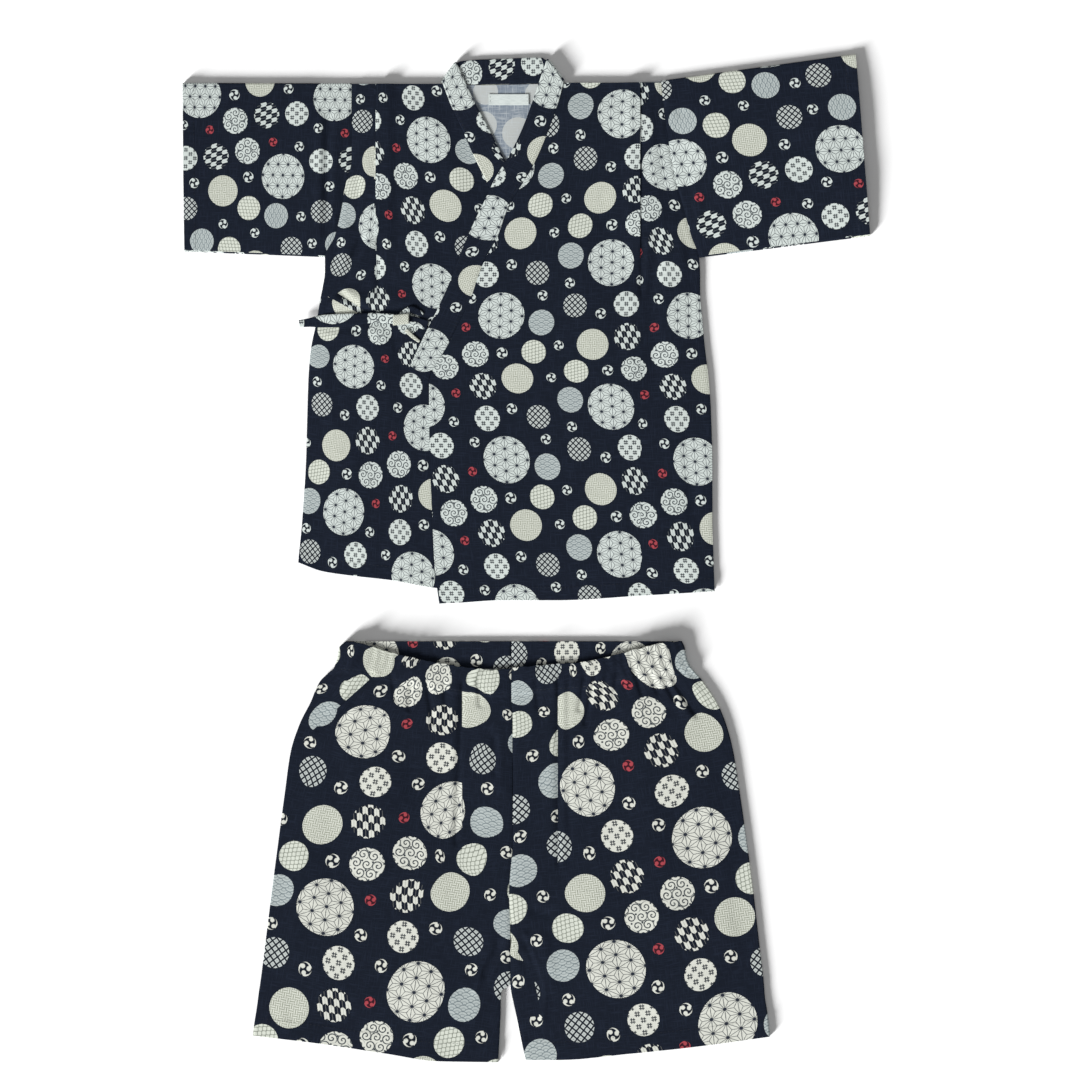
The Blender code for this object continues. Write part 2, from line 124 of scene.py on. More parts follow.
room = bpy.data.worlds.new("pale_room")
room.use_nodes = True
sky = room.node_tree.nodes["Background"].inputs
sky["Color"].default_value = (1, 1, 1, 1)
sky["Strength"].default_value = ROOM_LIGHT
bpy.context.scene.world = room
bpy.context.scene.view_settings.view_transform = "Standard"


# ---------------------------------------------------------------------------------------------
# The back: one panel of printed slub cotton under everything else, right side down. Its wrong
# side shows inside the neck, on a ground darkened with painted shade. Cut from the same cloth as
# the rest of the jacket.

# The print's repeat, in millimetres. Places in it are counted from one of its half-turn centres:
# each roundel has a twin at the opposite place, turned by half a turn.
REPEAT = (170.2, 131.7)
# CREAM is the cloth's own cream, set a little cooler than the shorts' as painted light: the upper
# part of the set lies in cooler, dimmer light.
NAVY, NAVY_SLUB, CREAM = "#171d29", "#272f40", "#d8e1dd"
# The wrong side's ground is its own blue-grey, darkened with painted shade, as where it lies in
# shadow inside the neck.
SHADED_WRONG_SIDE, WRONG_SLUB, WRONG_ROUNDEL = "#838e9b", "#c6cdd0", "#bfc3c1"
SOFT = 0.1  # how softly the print's lines end


def add(tree, kind, *inputs, **settings):
    """Adds a node with its settings, feeds its sockets in order, and gives its first output."""
    node = tree.nodes.new("ShaderNode" + kind)
    for setting, value in settings.items():
        setattr(node, setting, value)
    for socket, value in zip([s for s in node.inputs if s.enabled], inputs):
        if isinstance(value, bpy.types.NodeSocket):
            tree.links.new(value, socket)
        elif value is not None:
            socket.default_value = value
    return next(socket for socket in node.outputs if socket.enabled)


def maths(tree, operation, *inputs):
    """Works on plain values."""
    return add(tree, "Math", *inputs, operation=operation)


def vector(tree, operation, *inputs):
    """Works on places and directions."""
    return add(tree, "VectorMath", *inputs, operation=operation)


def rising(tree, value, start, end):
    """0 up to start, and 1 from end."""
    return add(tree, "MapRange", value, start, end, 0.0, 1.0)


def fading(tree, value, start, end):
    """1 up to start, and 0 from end."""
    return add(tree, "MapRange", value, start, end, 1.0, 0.0)


def mixed(tree, share, first, second):
    """The first colour where share is 0, and the second where it is 1."""
    return add(tree, "Mix", share, first, second, data_type="RGBA")


def near_line(tree, value, spacing, half_width, soft=SOFT):
    """1 within half_width of each whole multiple of spacing, else 0, with a soft edge."""
    share = maths(tree, "MULTIPLY", value, 1 / spacing)
    off = maths(tree, "PINGPONG", share, 0.5)
    near, far = (half_width - soft) / spacing, (half_width + soft) / spacing
    return fading(tree, off, near, far)


def placed(tree, place, discs):
    """Where a place lies in the roundels of a kind: the sum of each one's mask, and the place in
    the one that covers it, as a share of its radius."""
    back_to_front = vector(tree, "MULTIPLY", place, (-1, -1, 0))
    mask, within = None, None
    for x, y, radius in discs:
        for seen in (place, back_to_front):
            high = (x + REPEAT[0] / 2, y + REPEAT[1] / 2, 1)
            low = (x - REPEAT[0] / 2, y - REPEAT[1] / 2, -1)
            wrapped = vector(tree, "WRAP", seen, high, low)
            off = vector(tree, "SUBTRACT", wrapped, (x, y, 0))
            off = vector(tree, "SCALE", off, 1 / radius)
            reach = vector(tree, "LENGTH", off)
            inside = maths(tree, "LESS_THAN", reach, 1.0)
            mask = inside if mask is None else maths(tree, "ADD", mask, inside)
            start = (0, 0, 0) if within is None else within
            within = vector(tree, "MULTIPLY_ADD", off, inside, start)
    return mask, within


def component(tree, place, along):
    """How far a place lies along a direction."""
    return vector(tree, "DOT_PRODUCT", place, along)


def nearest(tree, place, across, up):
    """The place seen from the nearest point of a centred lattice, and 1 on its second set."""
    half = (across / 2, up / 2, 1)
    low = (-across / 2, -up / 2, -1)
    shifted = vector(tree, "ADD", place, (across / 2, up / 2, 0))
    first = vector(tree, "WRAP", place, half, low)
    second = vector(tree, "WRAP", shifted, half, low)
    first_reach = vector(tree, "LENGTH", first)
    second_reach = vector(tree, "LENGTH", second)
    which = maths(tree, "LESS_THAN", second_reach, first_reach)
    return add(tree, "Mix", which, first, second, data_type="VECTOR"), which


def hemp_leaf(tree, place):
    """Asanoha: a lattice of stars whose twelve fine lines meet in a dark dot."""
    across, up, line, dot, faint = 9.9, 9.7, 0.2, 1.4, 0.85
    place = vector(tree, "ADD", place, (1.1, 0.2, 0))
    off = [
        maths(tree, "PINGPONG", component(tree, place, normal), 0.5)
        for normal in ((1 / across, 0, 0), (0.5 / across, 1 / up, 0), (-0.5 / across, 1 / up, 0))
    ]
    low = maths(tree, "MINIMUM", maths(tree, "MINIMUM", *off[:2]), off[2])
    high = maths(tree, "MAXIMUM", maths(tree, "MAXIMUM", *off[:2]), off[2])
    total = maths(tree, "ADD", maths(tree, "ADD", *off[:2]), off[2])
    twice_low_and_high = maths(tree, "MULTIPLY_ADD", low, 2.0, high)
    lean = maths(tree, "SUBTRACT", total, twice_low_and_high)
    leaf = fading(tree, lean, math.sqrt(3) * line / up, 2.6 * line / up)
    edge = fading(tree, low, line / up, 1.6 * line / up)
    centre = fading(tree, high, 0.8 * dot / up, dot / up)
    lines = maths(tree, "MAXIMUM", leaf, edge)
    lines = maths(tree, "MULTIPLY", lines, faint)
    return maths(tree, "MAXIMUM", lines, centre)


def sea_waves(tree, place):
    """Seigaiha: rows of overlapping fans of fine arcs, each row in front of the one above."""
    size, inner = 4.3, 0.45
    rows = []
    for offset in (0, 1):
        moved = vector(tree, "ADD", place, (offset * size, offset * size / 2, 0))
        fan = vector(tree, "WRAP", moved, (size, size, 1), (-size, 0, -1))
        rows.append((component(tree, fan, (0, 1, 0)),
                     vector(tree, "LENGTH", fan)))
    (first_up, first), (second_up, second) = rows
    first_in_front = maths(tree, "GREATER_THAN", first_up, second_up)
    front = add(tree, "Mix", first_in_front, second, first)
    behind = add(tree, "Mix", first_in_front, first, second)
    covers = maths(tree, "LESS_THAN", front, size)
    reach = add(tree, "Mix", covers, behind, front)
    edge = near_line(tree, reach, size, 0.42, 0.25)
    ring = near_line(tree, reach, size / 2, 0.36, 0.25)
    ring = maths(tree, "MULTIPLY", ring, inner)
    return maths(tree, "MAXIMUM", edge, ring)


def fawn_spots(tree, place):
    """Kanoko: tied spots, square rings on a diagonal lattice, each with a dark heart."""
    spacing, gap, heart = 3.7, 0.15, 0.4
    off = []
    for across in (-0.7071, 0.7071):
        along = component(tree, place, (across / spacing, 0.7071 / spacing, 0))
        off.append(maths(tree, "PINGPONG", along, 0.5))
    low = maths(tree, "MINIMUM", *off)
    between = fading(tree, low, gap - 0.04, gap + 0.04)
    middle = add(tree, "MapRange", low, heart - 0.05, heart + 0.05, 0.0, 0.5)
    return maths(tree, "MAXIMUM", between, middle)


def key_fret(tree, place):
    """A fine maze of short keys, laid one way and the other like parquet."""
    block, stroke = 3.3, 1.65
    slant = add(tree, "VectorRotate", place, (0, 0, 0), None, math.radians(45),
                rotation_type="Z_AXIS")
    blocks = vector(tree, "MULTIPLY", slant, (1 / block, 1 / block, 0))
    blocks = vector(tree, "FLOOR", blocks)
    parity = maths(tree, "FLOORED_MODULO", component(tree, blocks, (1, 1, 0)), 2.0)
    across = near_line(tree, component(tree, slant, (1, 0, 0)), stroke, 0.34, 0.25)
    along = near_line(tree, component(tree, slant, (0, 1, 0)), stroke, 0.34, 0.25)
    return add(tree, "Mix", parity, across, along)


def net(tree, place):
    """Amime: a slanting net, whose waving cords touch and part by turns."""
    swing, wave, cord, slant = 0.95, 5.0, 0.32, math.radians(52)
    along = component(tree, place, (math.cos(slant), math.sin(slant), 0))
    across = component(tree, place, (-math.sin(slant), math.cos(slant), 0))
    waving = maths(tree, "MULTIPLY", along, math.tau / wave)
    waving = maths(tree, "SINE", waving)
    cords = []
    for side, start in ((swing, 0), (-swing, 2 * swing)):
        height = maths(tree, "MULTIPLY_ADD", waving, side, across)
        height = maths(tree, "ADD", height, start)
        cords.append(near_line(tree, height, 4 * swing, cord, 0.3))
    return maths(tree, "MAXIMUM", *cords)


def scrolls(tree, place):
    """Karakusa: small scrolls, curling one way and the other, with dots between them."""
    spacing, pitch, line, reach, dot = 7.6, 2.6, 0.42, 3.7, 0.6
    curl, second = nearest(tree, place, spacing, spacing * math.sqrt(3))
    angle = maths(tree, "ARCTAN2", component(tree, curl, (0, 1, 0)),
                  component(tree, curl, (1, 0, 0)))
    handed = maths(tree, "MULTIPLY_ADD", second, 2.0, -1.0)
    turn = maths(tree, "MULTIPLY", angle, handed)
    out = vector(tree, "LENGTH", curl)
    turn = maths(tree, "MULTIPLY_ADD", turn, pitch / math.tau, out)
    middle = vector(tree, "SUBTRACT", place, curl)
    turn = maths(tree, "ADD", component(tree, middle, (0.13, 0.05, 0)), turn)
    spiral = near_line(tree, turn, pitch, line)
    inside = fading(tree, out, reach, reach + 0.5)
    curls = maths(tree, "MULTIPLY", spiral, inside)
    between = vector(tree, "ADD", place, (spacing / 2, spacing * math.sqrt(3) / 6, 0))
    spot, _ = nearest(tree, between, spacing, spacing * math.sqrt(3))
    spot = fading(tree, vector(tree, "LENGTH", spot), dot, dot + 0.25)
    return maths(tree, "MAXIMUM", curls, spot)


def arrow_feathers(tree, place):
    """Yagasuri: leaning columns of feathers, cream and dark by turns, each with a midline."""
    width, length, lean, notch = 4.17, 10.6, math.tan(math.radians(16)), 0.26
    column = component(tree, place, (1 / width, lean / width, 0))
    across = maths(tree, "FRACT", column)
    across = maths(tree, "SUBTRACT", across, 0.5)
    across = maths(tree, "ABSOLUTE", across)
    number = maths(tree, "FLOOR", column)
    along = component(tree, place, (0, 1 / length, 0))
    along = maths(tree, "MULTIPLY_ADD", number, 0.5, along)
    along = maths(tree, "MULTIPLY_ADD", across, -notch, along)
    along = maths(tree, "FRACT", along)
    dark = maths(tree, "GREATER_THAN", along, 0.48)
    edge = rising(tree, across, 0.43, 0.46)
    dark = maths(tree, "MAXIMUM", dark, edge)
    middle = fading(tree, across, 0.04, 0.08)
    midline = add(tree, "Mix", dark, 0.28, 0.85)
    return add(tree, "Mix", middle, dark, midline)


def well_curbs(tree, place):
    """Igeta: small crossed frames of dark strokes on a centred lattice."""
    across, up, beam, stroke, reach = 7.6, 8.9, 0.85, 0.36, 1.95
    cross, _ = nearest(tree, place, across, up)
    size = vector(tree, "ABSOLUTE", cross)
    sides = [component(tree, size, way) for way in ((1, 0, 0), (0, 1, 0))]
    far = maths(tree, "MAXIMUM", *sides)
    within = fading(tree, far, reach - 0.1, reach + 0.1)
    beams = []
    for side in sides:
        off = maths(tree, "SUBTRACT", side, beam)
        off = maths(tree, "ABSOLUTE", off)
        beams.append(fading(tree, off, stroke - 0.1, stroke + 0.1))
    crossed = maths(tree, "MAXIMUM", *beams)
    return maths(tree, "MULTIPLY", crossed, within)


def commas(tree, within):
    """Tomoe: three commas chasing each other round a disc; 1 in the dark gaps between them."""
    start, head_out, head, tail = math.radians(77), 0.55, 0.33, math.radians(100)
    gap, soft = 0.08, 0.04
    angle = maths(tree, "ARCTAN2", component(tree, within, (0, 1, 0)),
                  component(tree, within, (1, 0, 0)))
    out = vector(tree, "LENGTH", within)
    turned = maths(tree, "SUBTRACT", angle, start)
    turned = maths(tree, "WRAP", turned, math.tau / 3, 0.0)
    seen = add(tree, "CombineXYZ",
               maths(tree, "MULTIPLY", maths(tree, "COSINE", turned), out),
               maths(tree, "MULTIPLY", maths(tree, "SINE", turned), out))
    reaches = []
    for place in (0, math.tau / 3):
        middle = (head_out * math.cos(place), head_out * math.sin(place), 0)
        reaches.append(vector(tree, "DISTANCE", seen, middle))
    near = maths(tree, "MINIMUM", *reaches)
    outside_heads = rising(tree, near, head - soft, head + soft)
    inner = maths(tree, "MULTIPLY_ADD", turned, (1 - head_out - gap) / tail, head_out + gap)
    inside_tail = maths(tree, "SUBTRACT", inner, out)
    inside_tail = rising(tree, inside_tail, -soft, soft)
    return maths(tree, "MULTIPLY", outside_heads, inside_tail)


# The waves, the spots, the fret, the net and the scrolls are finer on the real cloth. They are
# drawn coarser here, so that they still show when the whole set is seen.
ROUNDELS = [  # motif, x, y, radius, ground and ink; None is the cloth's own cream or navy
    (hemp_leaf, -48.7, 41.7, 20.7, None, "#2b313d"),
    (sea_waves, -12.4, 35.9, 11.5, "#bec7c6", "#67757b"),
    (fawn_spots, -17.2, -51.6, 10.5, "#c9d0cd", None),
    (key_fret, 34.2, 16.5, 14.2, "#e1e4d9", "#9ba08f"),
    (net, -18.9, 9.1, 11.0, "#dfe4d8", "#7d8377"),
    (scrolls, -71.4, 6.3, 12.0, None, "#3f464c"),
    (arrow_feathers, -65.4, -24.1, 12.2, None, None),
    (well_curbs, -63.4, -53.5, 11.3, None, "#3a3f45"),
]
MIDDLE_OF = {row[0]: row[1:3] for row in ROUNDELS}
WHITE_COMMAS = [  # x, y, radius
    (-47.4, 7.9, 5.0), (3.7, 15.5, 4.4), (-40.7, -44.6, 4.7), (76.4, -56.8, 4.5),
    (12.1, -60.2, 4.5),
]
RED_COMMAS = [(-80.2, 31.0, 4.0)]
RED, DARK_RED = "#b04a52", "#3f1a24"


SLUB_LENGTH, SLUB_WIDTH = 14.0, 0.9
SLUBS_SEEN, WRONG_SLUBS_SEEN, WORN = 0.42, 0.75, 0.1  # shares of the threads' own colour
WANDER = (0.5, -0.4, 0)  # how far the print wanders where the cloth is uneven


def slubs(tree, place, across, along, low, high):
    """Long uneven threads: 1 on the thick ones, 0 between them."""
    stretched = vector(tree, "MULTIPLY", place, (1 / across, 1 / along, 0))
    noise = add(tree, "TexNoise", stretched, 1.0, 2.0, 0.55, noise_dimensions="2D")
    return rising(tree, noise, low, high)


def printed_cotton(name, scale, cream, wrong_side=False):
    """Plain-weave slub cotton, screen printed on the right side: matt, with thick and thin
    threads both ways. On the wrong side the print only shows through as paler roundels."""
    material, tree, finish = finished(name, {"Roughness": 0.92, "Specular IOR Level": 0.1})
    place = add(tree, "UVMap", uv_map="cloth")
    threads = vector(tree, "MULTIPLY", place, (scale, scale, 0))
    weft = slubs(tree, threads, SLUB_LENGTH, SLUB_WIDTH, 0.5, 0.72)
    warp = slubs(tree, threads, SLUB_WIDTH, SLUB_LENGTH, 0.52, 0.74)
    both = maths(tree, "MAXIMUM", weft, warp)
    relief = add(tree, "Bump", 0.3, 0.2 * MM, None, both)
    tree.links.new(relief, finish["Normal"])
    uneven = add(tree, "TexNoise", threads, 0.8, 2.0, 0.5, noise_dimensions="2D")
    uneven = maths(tree, "SUBTRACT", uneven, 0.5)
    place = vector(tree, "MULTIPLY_ADD", WANDER, uneven, place)
    if wrong_side:
        inside, _ = placed(tree, place, [row[1:4] for row in ROUNDELS])
        # The wrong side's ground: its own blue-grey, darkened with painted shade.
        ground = mixed(tree, inside, linear(SHADED_WRONG_SIDE), linear(WRONG_ROUNDEL))
        lit = maths(tree, "MULTIPLY", both, WRONG_SLUBS_SEEN)
        colour = mixed(tree, lit, ground, linear(WRONG_SLUB))
        tree.links.new(colour, finish["Base Color"])
        return material
    lit = maths(tree, "MULTIPLY", both, SLUBS_SEEN)
    colour = mixed(tree, lit, linear(NAVY), linear(NAVY_SLUB))
    for motif, x, y, radius, ground, ink in ROUNDELS:
        inside, within = placed(tree, place, [(x, y, radius)])
        within = vector(tree, "SCALE", within, radius)
        disc = mixed(tree, motif(tree, within), linear(ground or cream), linear(ink or NAVY))
        colour = mixed(tree, inside, colour, disc)
    for discs, light, dark in ((WHITE_COMMAS, cream, NAVY), (RED_COMMAS, RED, DARK_RED)):
        inside, within = placed(tree, place, discs)
        disc = mixed(tree, commas(tree, within), linear(light), linear(dark))
        colour = mixed(tree, inside, colour, disc)
    worn = maths(tree, "MULTIPLY", both, WORN)
    colour = mixed(tree, worn, colour, linear(NAVY_SLUB))
    tree.links.new(colour, finish["Base Color"])
    return material


jacket_print = printed_cotton("jacket_slub_cotton", 1.0, CREAM)
jacket_wrong_side = printed_cotton("jacket_wrong_side", 1.0, CREAM, wrong_side=True)

STEP = 2.4  # between the points of a panel's grid
THIN = 0.8  # one layer of cloth
CLOTH = 1.2  # the room that a layer takes in the frame
GAP = 0.3
FIRST = CLOTH + GAP
HEM_RISE, PUCKER = 0.35, 0.16
SEAM_SINK, SEAM_WIDTH = 0.6, 1.6


def curve(table, at, column=1):
    """A column of a table at some value of its first, on a smooth line through the rows."""
    rows = np.array(sorted(table))
    x, y = rows[:, 0], rows[:, column]
    run = np.diff(x)
    slope = np.diff(y) / run
    product, total = slope[:-1] * slope[1:], slope[:-1] + slope[1:]
    even = np.where(product > 0, 2 * product / np.where(product > 0, total, 1), 0)
    slopes = np.concatenate([slope[:1], even, slope[-1:]])
    at = np.clip(at, x[0], x[-1])
    row = np.clip(np.searchsorted(x, at) - 1, 0, len(run) - 1)
    share = (at - x[row]) / run[row]
    rest = 1 - share
    return (
        (1 + 2 * share) * rest**2 * y[row] + (1 + 2 * rest) * share**2 * y[row + 1]
        + share * rest * run[row] * (rest * slopes[row] - share * slopes[row + 1])
    )


def ease(value, start, end):
    """0 at start and before it, 1 at end and after it, with a soft step between them."""
    share = np.clip((value - start) / (end - start), 0, 1)
    return share * share * (3 - 2 * share)


def soft_line(off, rise, width):
    """How high a soft ridge or groove stands, some way off its middle line."""
    return rise * np.exp(-((off / width) ** 2))


def folds(table, x, y):
    """The rise of a panel's folds at some places: soft across each line, fading at its ends."""
    total = np.zeros(np.broadcast(x, y).shape)
    for from_x, from_y, to_x, to_y, width, rise in table:
        along_x, along_y = to_x - from_x, to_y - from_y
        length = np.hypot(along_x, along_y)
        along = ((x - from_x) * along_x + (y - from_y) * along_y) / length
        off = ((x - from_x) * along_y - (y - from_y) * along_x) / length
        fade = ease(along, -width, width) * ease(length - along, -width, width)
        total += soft_line(off, rise, width) * fade
    return total


def ripple(x, y, seed, size, rise):
    """The soft unevenness of laid cloth: long low waves in several directions."""
    waves = np.random.default_rng(seed).uniform(size=(9, 3))
    total = np.zeros(np.broadcast(x, y).shape)
    for turn, length, start in waves:
        reach = (x * math.cos(math.pi * turn) + y * math.sin(math.pi * turn)) / size
        total += np.sin(math.tau * (reach / (0.6 + 1.4 * length) + start))
    return rise * total / 4


def spread(start, end, step=STEP):
    """Places from start to end, about a step apart and closer at the two ends."""
    start, end = np.broadcast_arrays(np.asarray(start, float), np.asarray(end, float))
    start, end = start[..., None], end[..., None]
    near = np.array([0, 0.4, 1.2, 2.4])
    way = np.sign(end - start)
    first, last = start + way * 2 * near[-1], end - way * 2 * near[-1]
    count = int(np.ceil(np.abs(last - first).max() / step)) + 1
    middle = first + (last - first) * np.linspace(0, 1, count)
    return np.concatenate([start + way * near, middle, end - way * near[::-1]], axis=-1)


def hem(depth, along, turning, seed):
    """A turned-up hem's rise: a double band, a sunk row of stitches, and the pucker beside it."""
    band = HEM_RISE * (1 - ease(depth, turning, turning + 2))
    row = soft_line(depth - turning, -HEM_RISE, 0.9)
    near = soft_line(depth - turning, 1, 5)
    return band + row + near * ripple(along, depth / 3, seed, 9, PUCKER)


def print_at(x, y, middle, across, down):
    """Places on a laid panel as places in the print, in its own millimetres. middle is where a
    repeat's middle lies, across and down are the steps to the next repeats."""
    off_x, off_y = x - middle[0], y - middle[1]
    area = across[0] * down[1] - across[1] * down[0]
    share_across = (off_x * down[1] - off_y * down[0]) / area
    share_down = (across[0] * off_y - across[1] * off_x) / area
    return np.stack([share_across * REPEAT[0], -share_down * REPEAT[1]], axis=-1)


# Where the print on a face is longer than JUMP times the face and a SPECK, a pleat hides it.
JUMP, SPECK = 5, 0.3


def piece_of(mesh):
    """A smooth mesh as a piece of the set, which has a single body."""
    mesh.shade_smooth()
    piece = bpy.data.objects.new(mesh.name, mesh)
    bpy.context.scene.collection.objects.link(piece)
    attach(piece, "root")
    return piece


def cloth(name, outer, inner, prints, sides, round_about=False, turned_in=None):
    """A thin closed sheet between two grids of points, in millimetres, with its print's map.

    The grids have rows, columns and three coordinates; prints holds each one's places in the
    print. sides are the materials of the right and the wrong side. A sheet that goes round_about
    has its last column beside its first. turned_in marks the rows whose inner side is a turned-in
    right side.
    """
    rows, columns = outer.shape[:2]
    step = rows * columns
    grid = np.arange(step).reshape(rows, columns)
    if round_about:
        grid = np.concatenate([grid, grid[:, :1]], axis=1)
    right = np.stack([grid[:-1, :-1], grid[:-1, 1:], grid[1:, 1:], grid[1:, :-1]], axis=-1)
    wrong = right[..., ::-1] + step
    edges = [grid[0], grid[-1]] + ([] if round_about else [grid[:, 0], grid[:, -1]])
    rims = [np.stack([e[:-1], e[1:], e[1:] + step, e[:-1] + step], axis=-1) for e in edges]
    hidden = np.ones(wrong.shape[:2], int)
    if turned_in is not None:
        hidden[turned_in[:-1] & turned_in[1:]] = 0
    faces = np.concatenate([right.reshape(-1, 4), wrong.reshape(-1, 4), *rims])
    slots = np.zeros(len(faces), int)
    slots[hidden.size:2 * hidden.size] = hidden.ravel()
    points = np.concatenate([outer.reshape(-1, 3), inner.reshape(-1, 3)]) * MM
    points[:, 2] = np.clip(points[:, 2], 0, None)
    mesh = bpy.data.meshes.new(name)
    mesh.from_pydata(points.tolist(), [], faces.tolist())
    for side in sides:
        mesh.materials.append(side)
    mesh.polygons.foreach_set("material_index", slots)
    shape = bmesh.new()
    shape.from_mesh(mesh)
    bmesh.ops.recalc_face_normals(shape, faces=shape.faces)
    shape.to_mesh(mesh)
    shape.free()
    corners = np.empty(len(mesh.loops), int)
    mesh.loops.foreach_get("vertex_index", corners)
    mapped = np.concatenate([side.reshape(-1, 2) for side in prints])[corners]
    mapped, places = mapped.reshape(-1, 4, 2), points[corners].reshape(-1, 4, 3) / MM
    jump = np.linalg.norm(np.roll(mapped, -1, axis=1) - mapped, axis=2)
    length = np.linalg.norm(np.roll(places, -1, axis=1) - places, axis=2)
    hiding = (jump > JUMP * (length + SPECK)).any(axis=1)
    mapped[hiding] = mapped[hiding][:, :1]
    mesh.uv_layers.new(name="cloth").uv.foreach_set("vector", mapped.astype(np.float32).ravel())
    return piece_of(mesh)


# The fronts' edges, which the back and the sleeves share: height, inner edge, side or armhole.
RIGHT_FRONT = [
    (427, -76, -158), (404, -67, -158), (385, -58, -158), (358, -46, -158), (338, -36, -163),
    (315, -27, -167), (290, -14, -173), (271, -4, -182), (258, 3, -182), (244, 10, -184),
    (234, 15, -186), (228, 18, -187), (222, 21, -188), (216, 23, -189), (206, 28, -191),
    (192, 35, -194), (175, 44, -196), (158, 52, -197), (124, 50, -198), (88, 50, -199),
    (52, 49, -201), (16, 48, -203), (-22, 46, -206),
]
LEFT_FRONT = [
    (428, 33, 121), (406, 27, 123), (379, 17, 127), (354, 6, 131), (332, -7, 136), (315, -17, 141),
    (290, -26, 148), (270, -37, 155), (253, -44, 156), (238, -49, 156), (214, -60, 158),
    (192, -71, 160), (158, -88, 164), (124, -88, 166), (79, -87, 167), (34, -85, 167),
    (-5, -83, 168), (-36, -79, 169),
]
SHOULDER = 427
BACK_LOW = -20  # height of the grid's lowest row, before it is bent to the hem
BACK_STEP = 4
BACK_REPEAT = ((-26, 234), (170.1, -1.8), (0, -132.6))  # its middle, and the steps to the next
BACK_HEM = [(-206, -2), (-82, -24), (0, -30), (169, -29)]
BACK_TOP = [
    (-158, 427), (-95, 427), (-75, 427.2), (-44, 426.4), (-14, 426.9), (8, 427.4), (24, 427.9),
    (33, 428.4), (60, 428.5), (121, 429.5),
]

back_rows = spread(SHOULDER, BACK_LOW, BACK_STEP)[:, None]
back_x = spread(curve(RIGHT_FRONT, back_rows[:, 0], 2) + GAP,
                curve(LEFT_FRONT, back_rows[:, 0], 2) - GAP, BACK_STEP)
# The rows bend to the hem below, and to the shoulders' line above.
back_y = back_rows + (curve(BACK_HEM, back_x) - BACK_LOW) * (1 - ease(back_rows, BACK_LOW, 60))
back_y = back_y + (curve(BACK_TOP, back_x) - SHOULDER - GAP) * ease(back_rows, 400, SHOULDER)
back_top = CLOTH - 0.2 + ripple(back_x, back_y, 3, 60, 0.12)
back_points = np.stack([back_x, back_y, back_top], axis=-1)
back_print = print_at(-back_x, back_y, *BACK_REPEAT)
back = cloth("back_panel", back_points * (1, 1, 0), back_points,
             (back_print, back_print), (jacket_print, jacket_wrong_side))
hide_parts("back")


# ---------------------------------------------------------------------------------------------
# The fronts: each is one panel with a pressed shoulder tuck laid towards the neck. The right one
# lies on the back, and the left one crosses over it. Hems are turned up twice and stitched.

SECOND = 4.0  # underside of what lies on the right front
FRONT_PUFF = 2.0
SIDE_FADE, END_FADE = 35, 30  # over which the cloth swells from a seam, and from an end
TUCK_WIDTH = 12.5
TUCK_RISE = 1.4
HEM = 13
RIGHT_HEM = [(-206, -4), (-184, -12), (-157, -16), (-122, -20), (-82, -27), (46, -36)]
LEFT_HEM = [(-79, -41), (-58, -40), (-24, -38), (28, -38), (101, -34), (169, -30)]
OVERLAP = [  # height, free edge of the left front's collar, then its front edge
    (-36, -88), (120, -88), (158, -106), (169, -107), (203, -93), (221, -82), (245, -71),
    (276, -59), (297, -50), (324, -37), (341, -29), (364, -15), (387, -4), (414, 6), (448, 17),
]
UNDERLAP = [(155, 74), (169, 74), (213, 53), (253, 33), (292, 17), (326, 3), (355, -17),
            (380, -40)]  # height, free edge of the right front's collar
# Folds are laid where the real cloth creases; a rise below nothing is a trough.
RIGHT_FRONT_FOLDS = [  # from_x, from_y, to_x, to_y, width, rise
    (-189, 219, -174, 221, 2.8, -3.0), (-174, 221, -148, 222.5, 2.8, -3.2),
    (-148, 222.5, -113, 223, 2.8, -3.0), (-113, 223.5, -98, 221.5, 3, -2.4),
    (-184, 229, -150, 234, 9, 2.4), (-150, 233, -112, 232, 8, 1.4), (-182, 203, -130, 202, 7, 1.2),
    (-186, 206, -150, 205, 2.6, -1.8), (-172, 241, -146, 222, 2.6, -3.2),
    (-164, 242, -140, 225, 3, 1.8), (-169, 250, -186, 221, 2.6, -3.4),
    (-147, 289, -166, 250, 3.4, -2.4), (-141, 288, -158, 252, 5, 1.3),
    (-172, 298, -176, 268, 3, -2.0), (-161, 300, -164, 262, 6, 1.2),
    (-176, 262, -182, 240, 2.6, -1.8), (-100, 330, -112, 250, 9, 0.8),
    (-150, 150, -158, 40, 12, 0.8), (-120, 120, -112, 20, 16, -0.7),
    (-133, 290, -134, 236, 3, -1.4), (-146, 400, -146, 330, 7, 0.8),
    (-154, 350, -157, 300, 4, -1.4), (-120, 205, -112, 170, 5, -1.3),
    (-98, 200, -104, 150, 5, -1.0), (-126, 190, -150, 150, 8, 0.8), (-186, 180, -176, 120, 7, 0.7),
]
LEFT_FRONT_FOLDS = [
    (95, 240, 88, 150, 12, 1.0), (112, 236, 116, 160, 8, -0.8), (120, 60, 112, -20, 12, 0.8),
    (-10, 70, -14, -20, 14, 0.8), (60, 300, 52, 220, 16, 0.7), (150, 262, 151, 200, 4, -1.6),
    (118, 300, 112, 236, 5, -1.4), (104, 284, 103, 236, 2.6, -1.6), (138, 330, 140, 262, 6, 1.0),
    (124, 400, 128, 330, 5, -1.3), (112, 410, 114, 340, 6, 0.8), (-40, 190, 20, 170, 12, 0.6),
    (-60, 120, 40, 108, 10, -0.5), (143, 120, 150, 30, 7, -0.8), (60, 60, 68, -10, 10, -0.6),
]


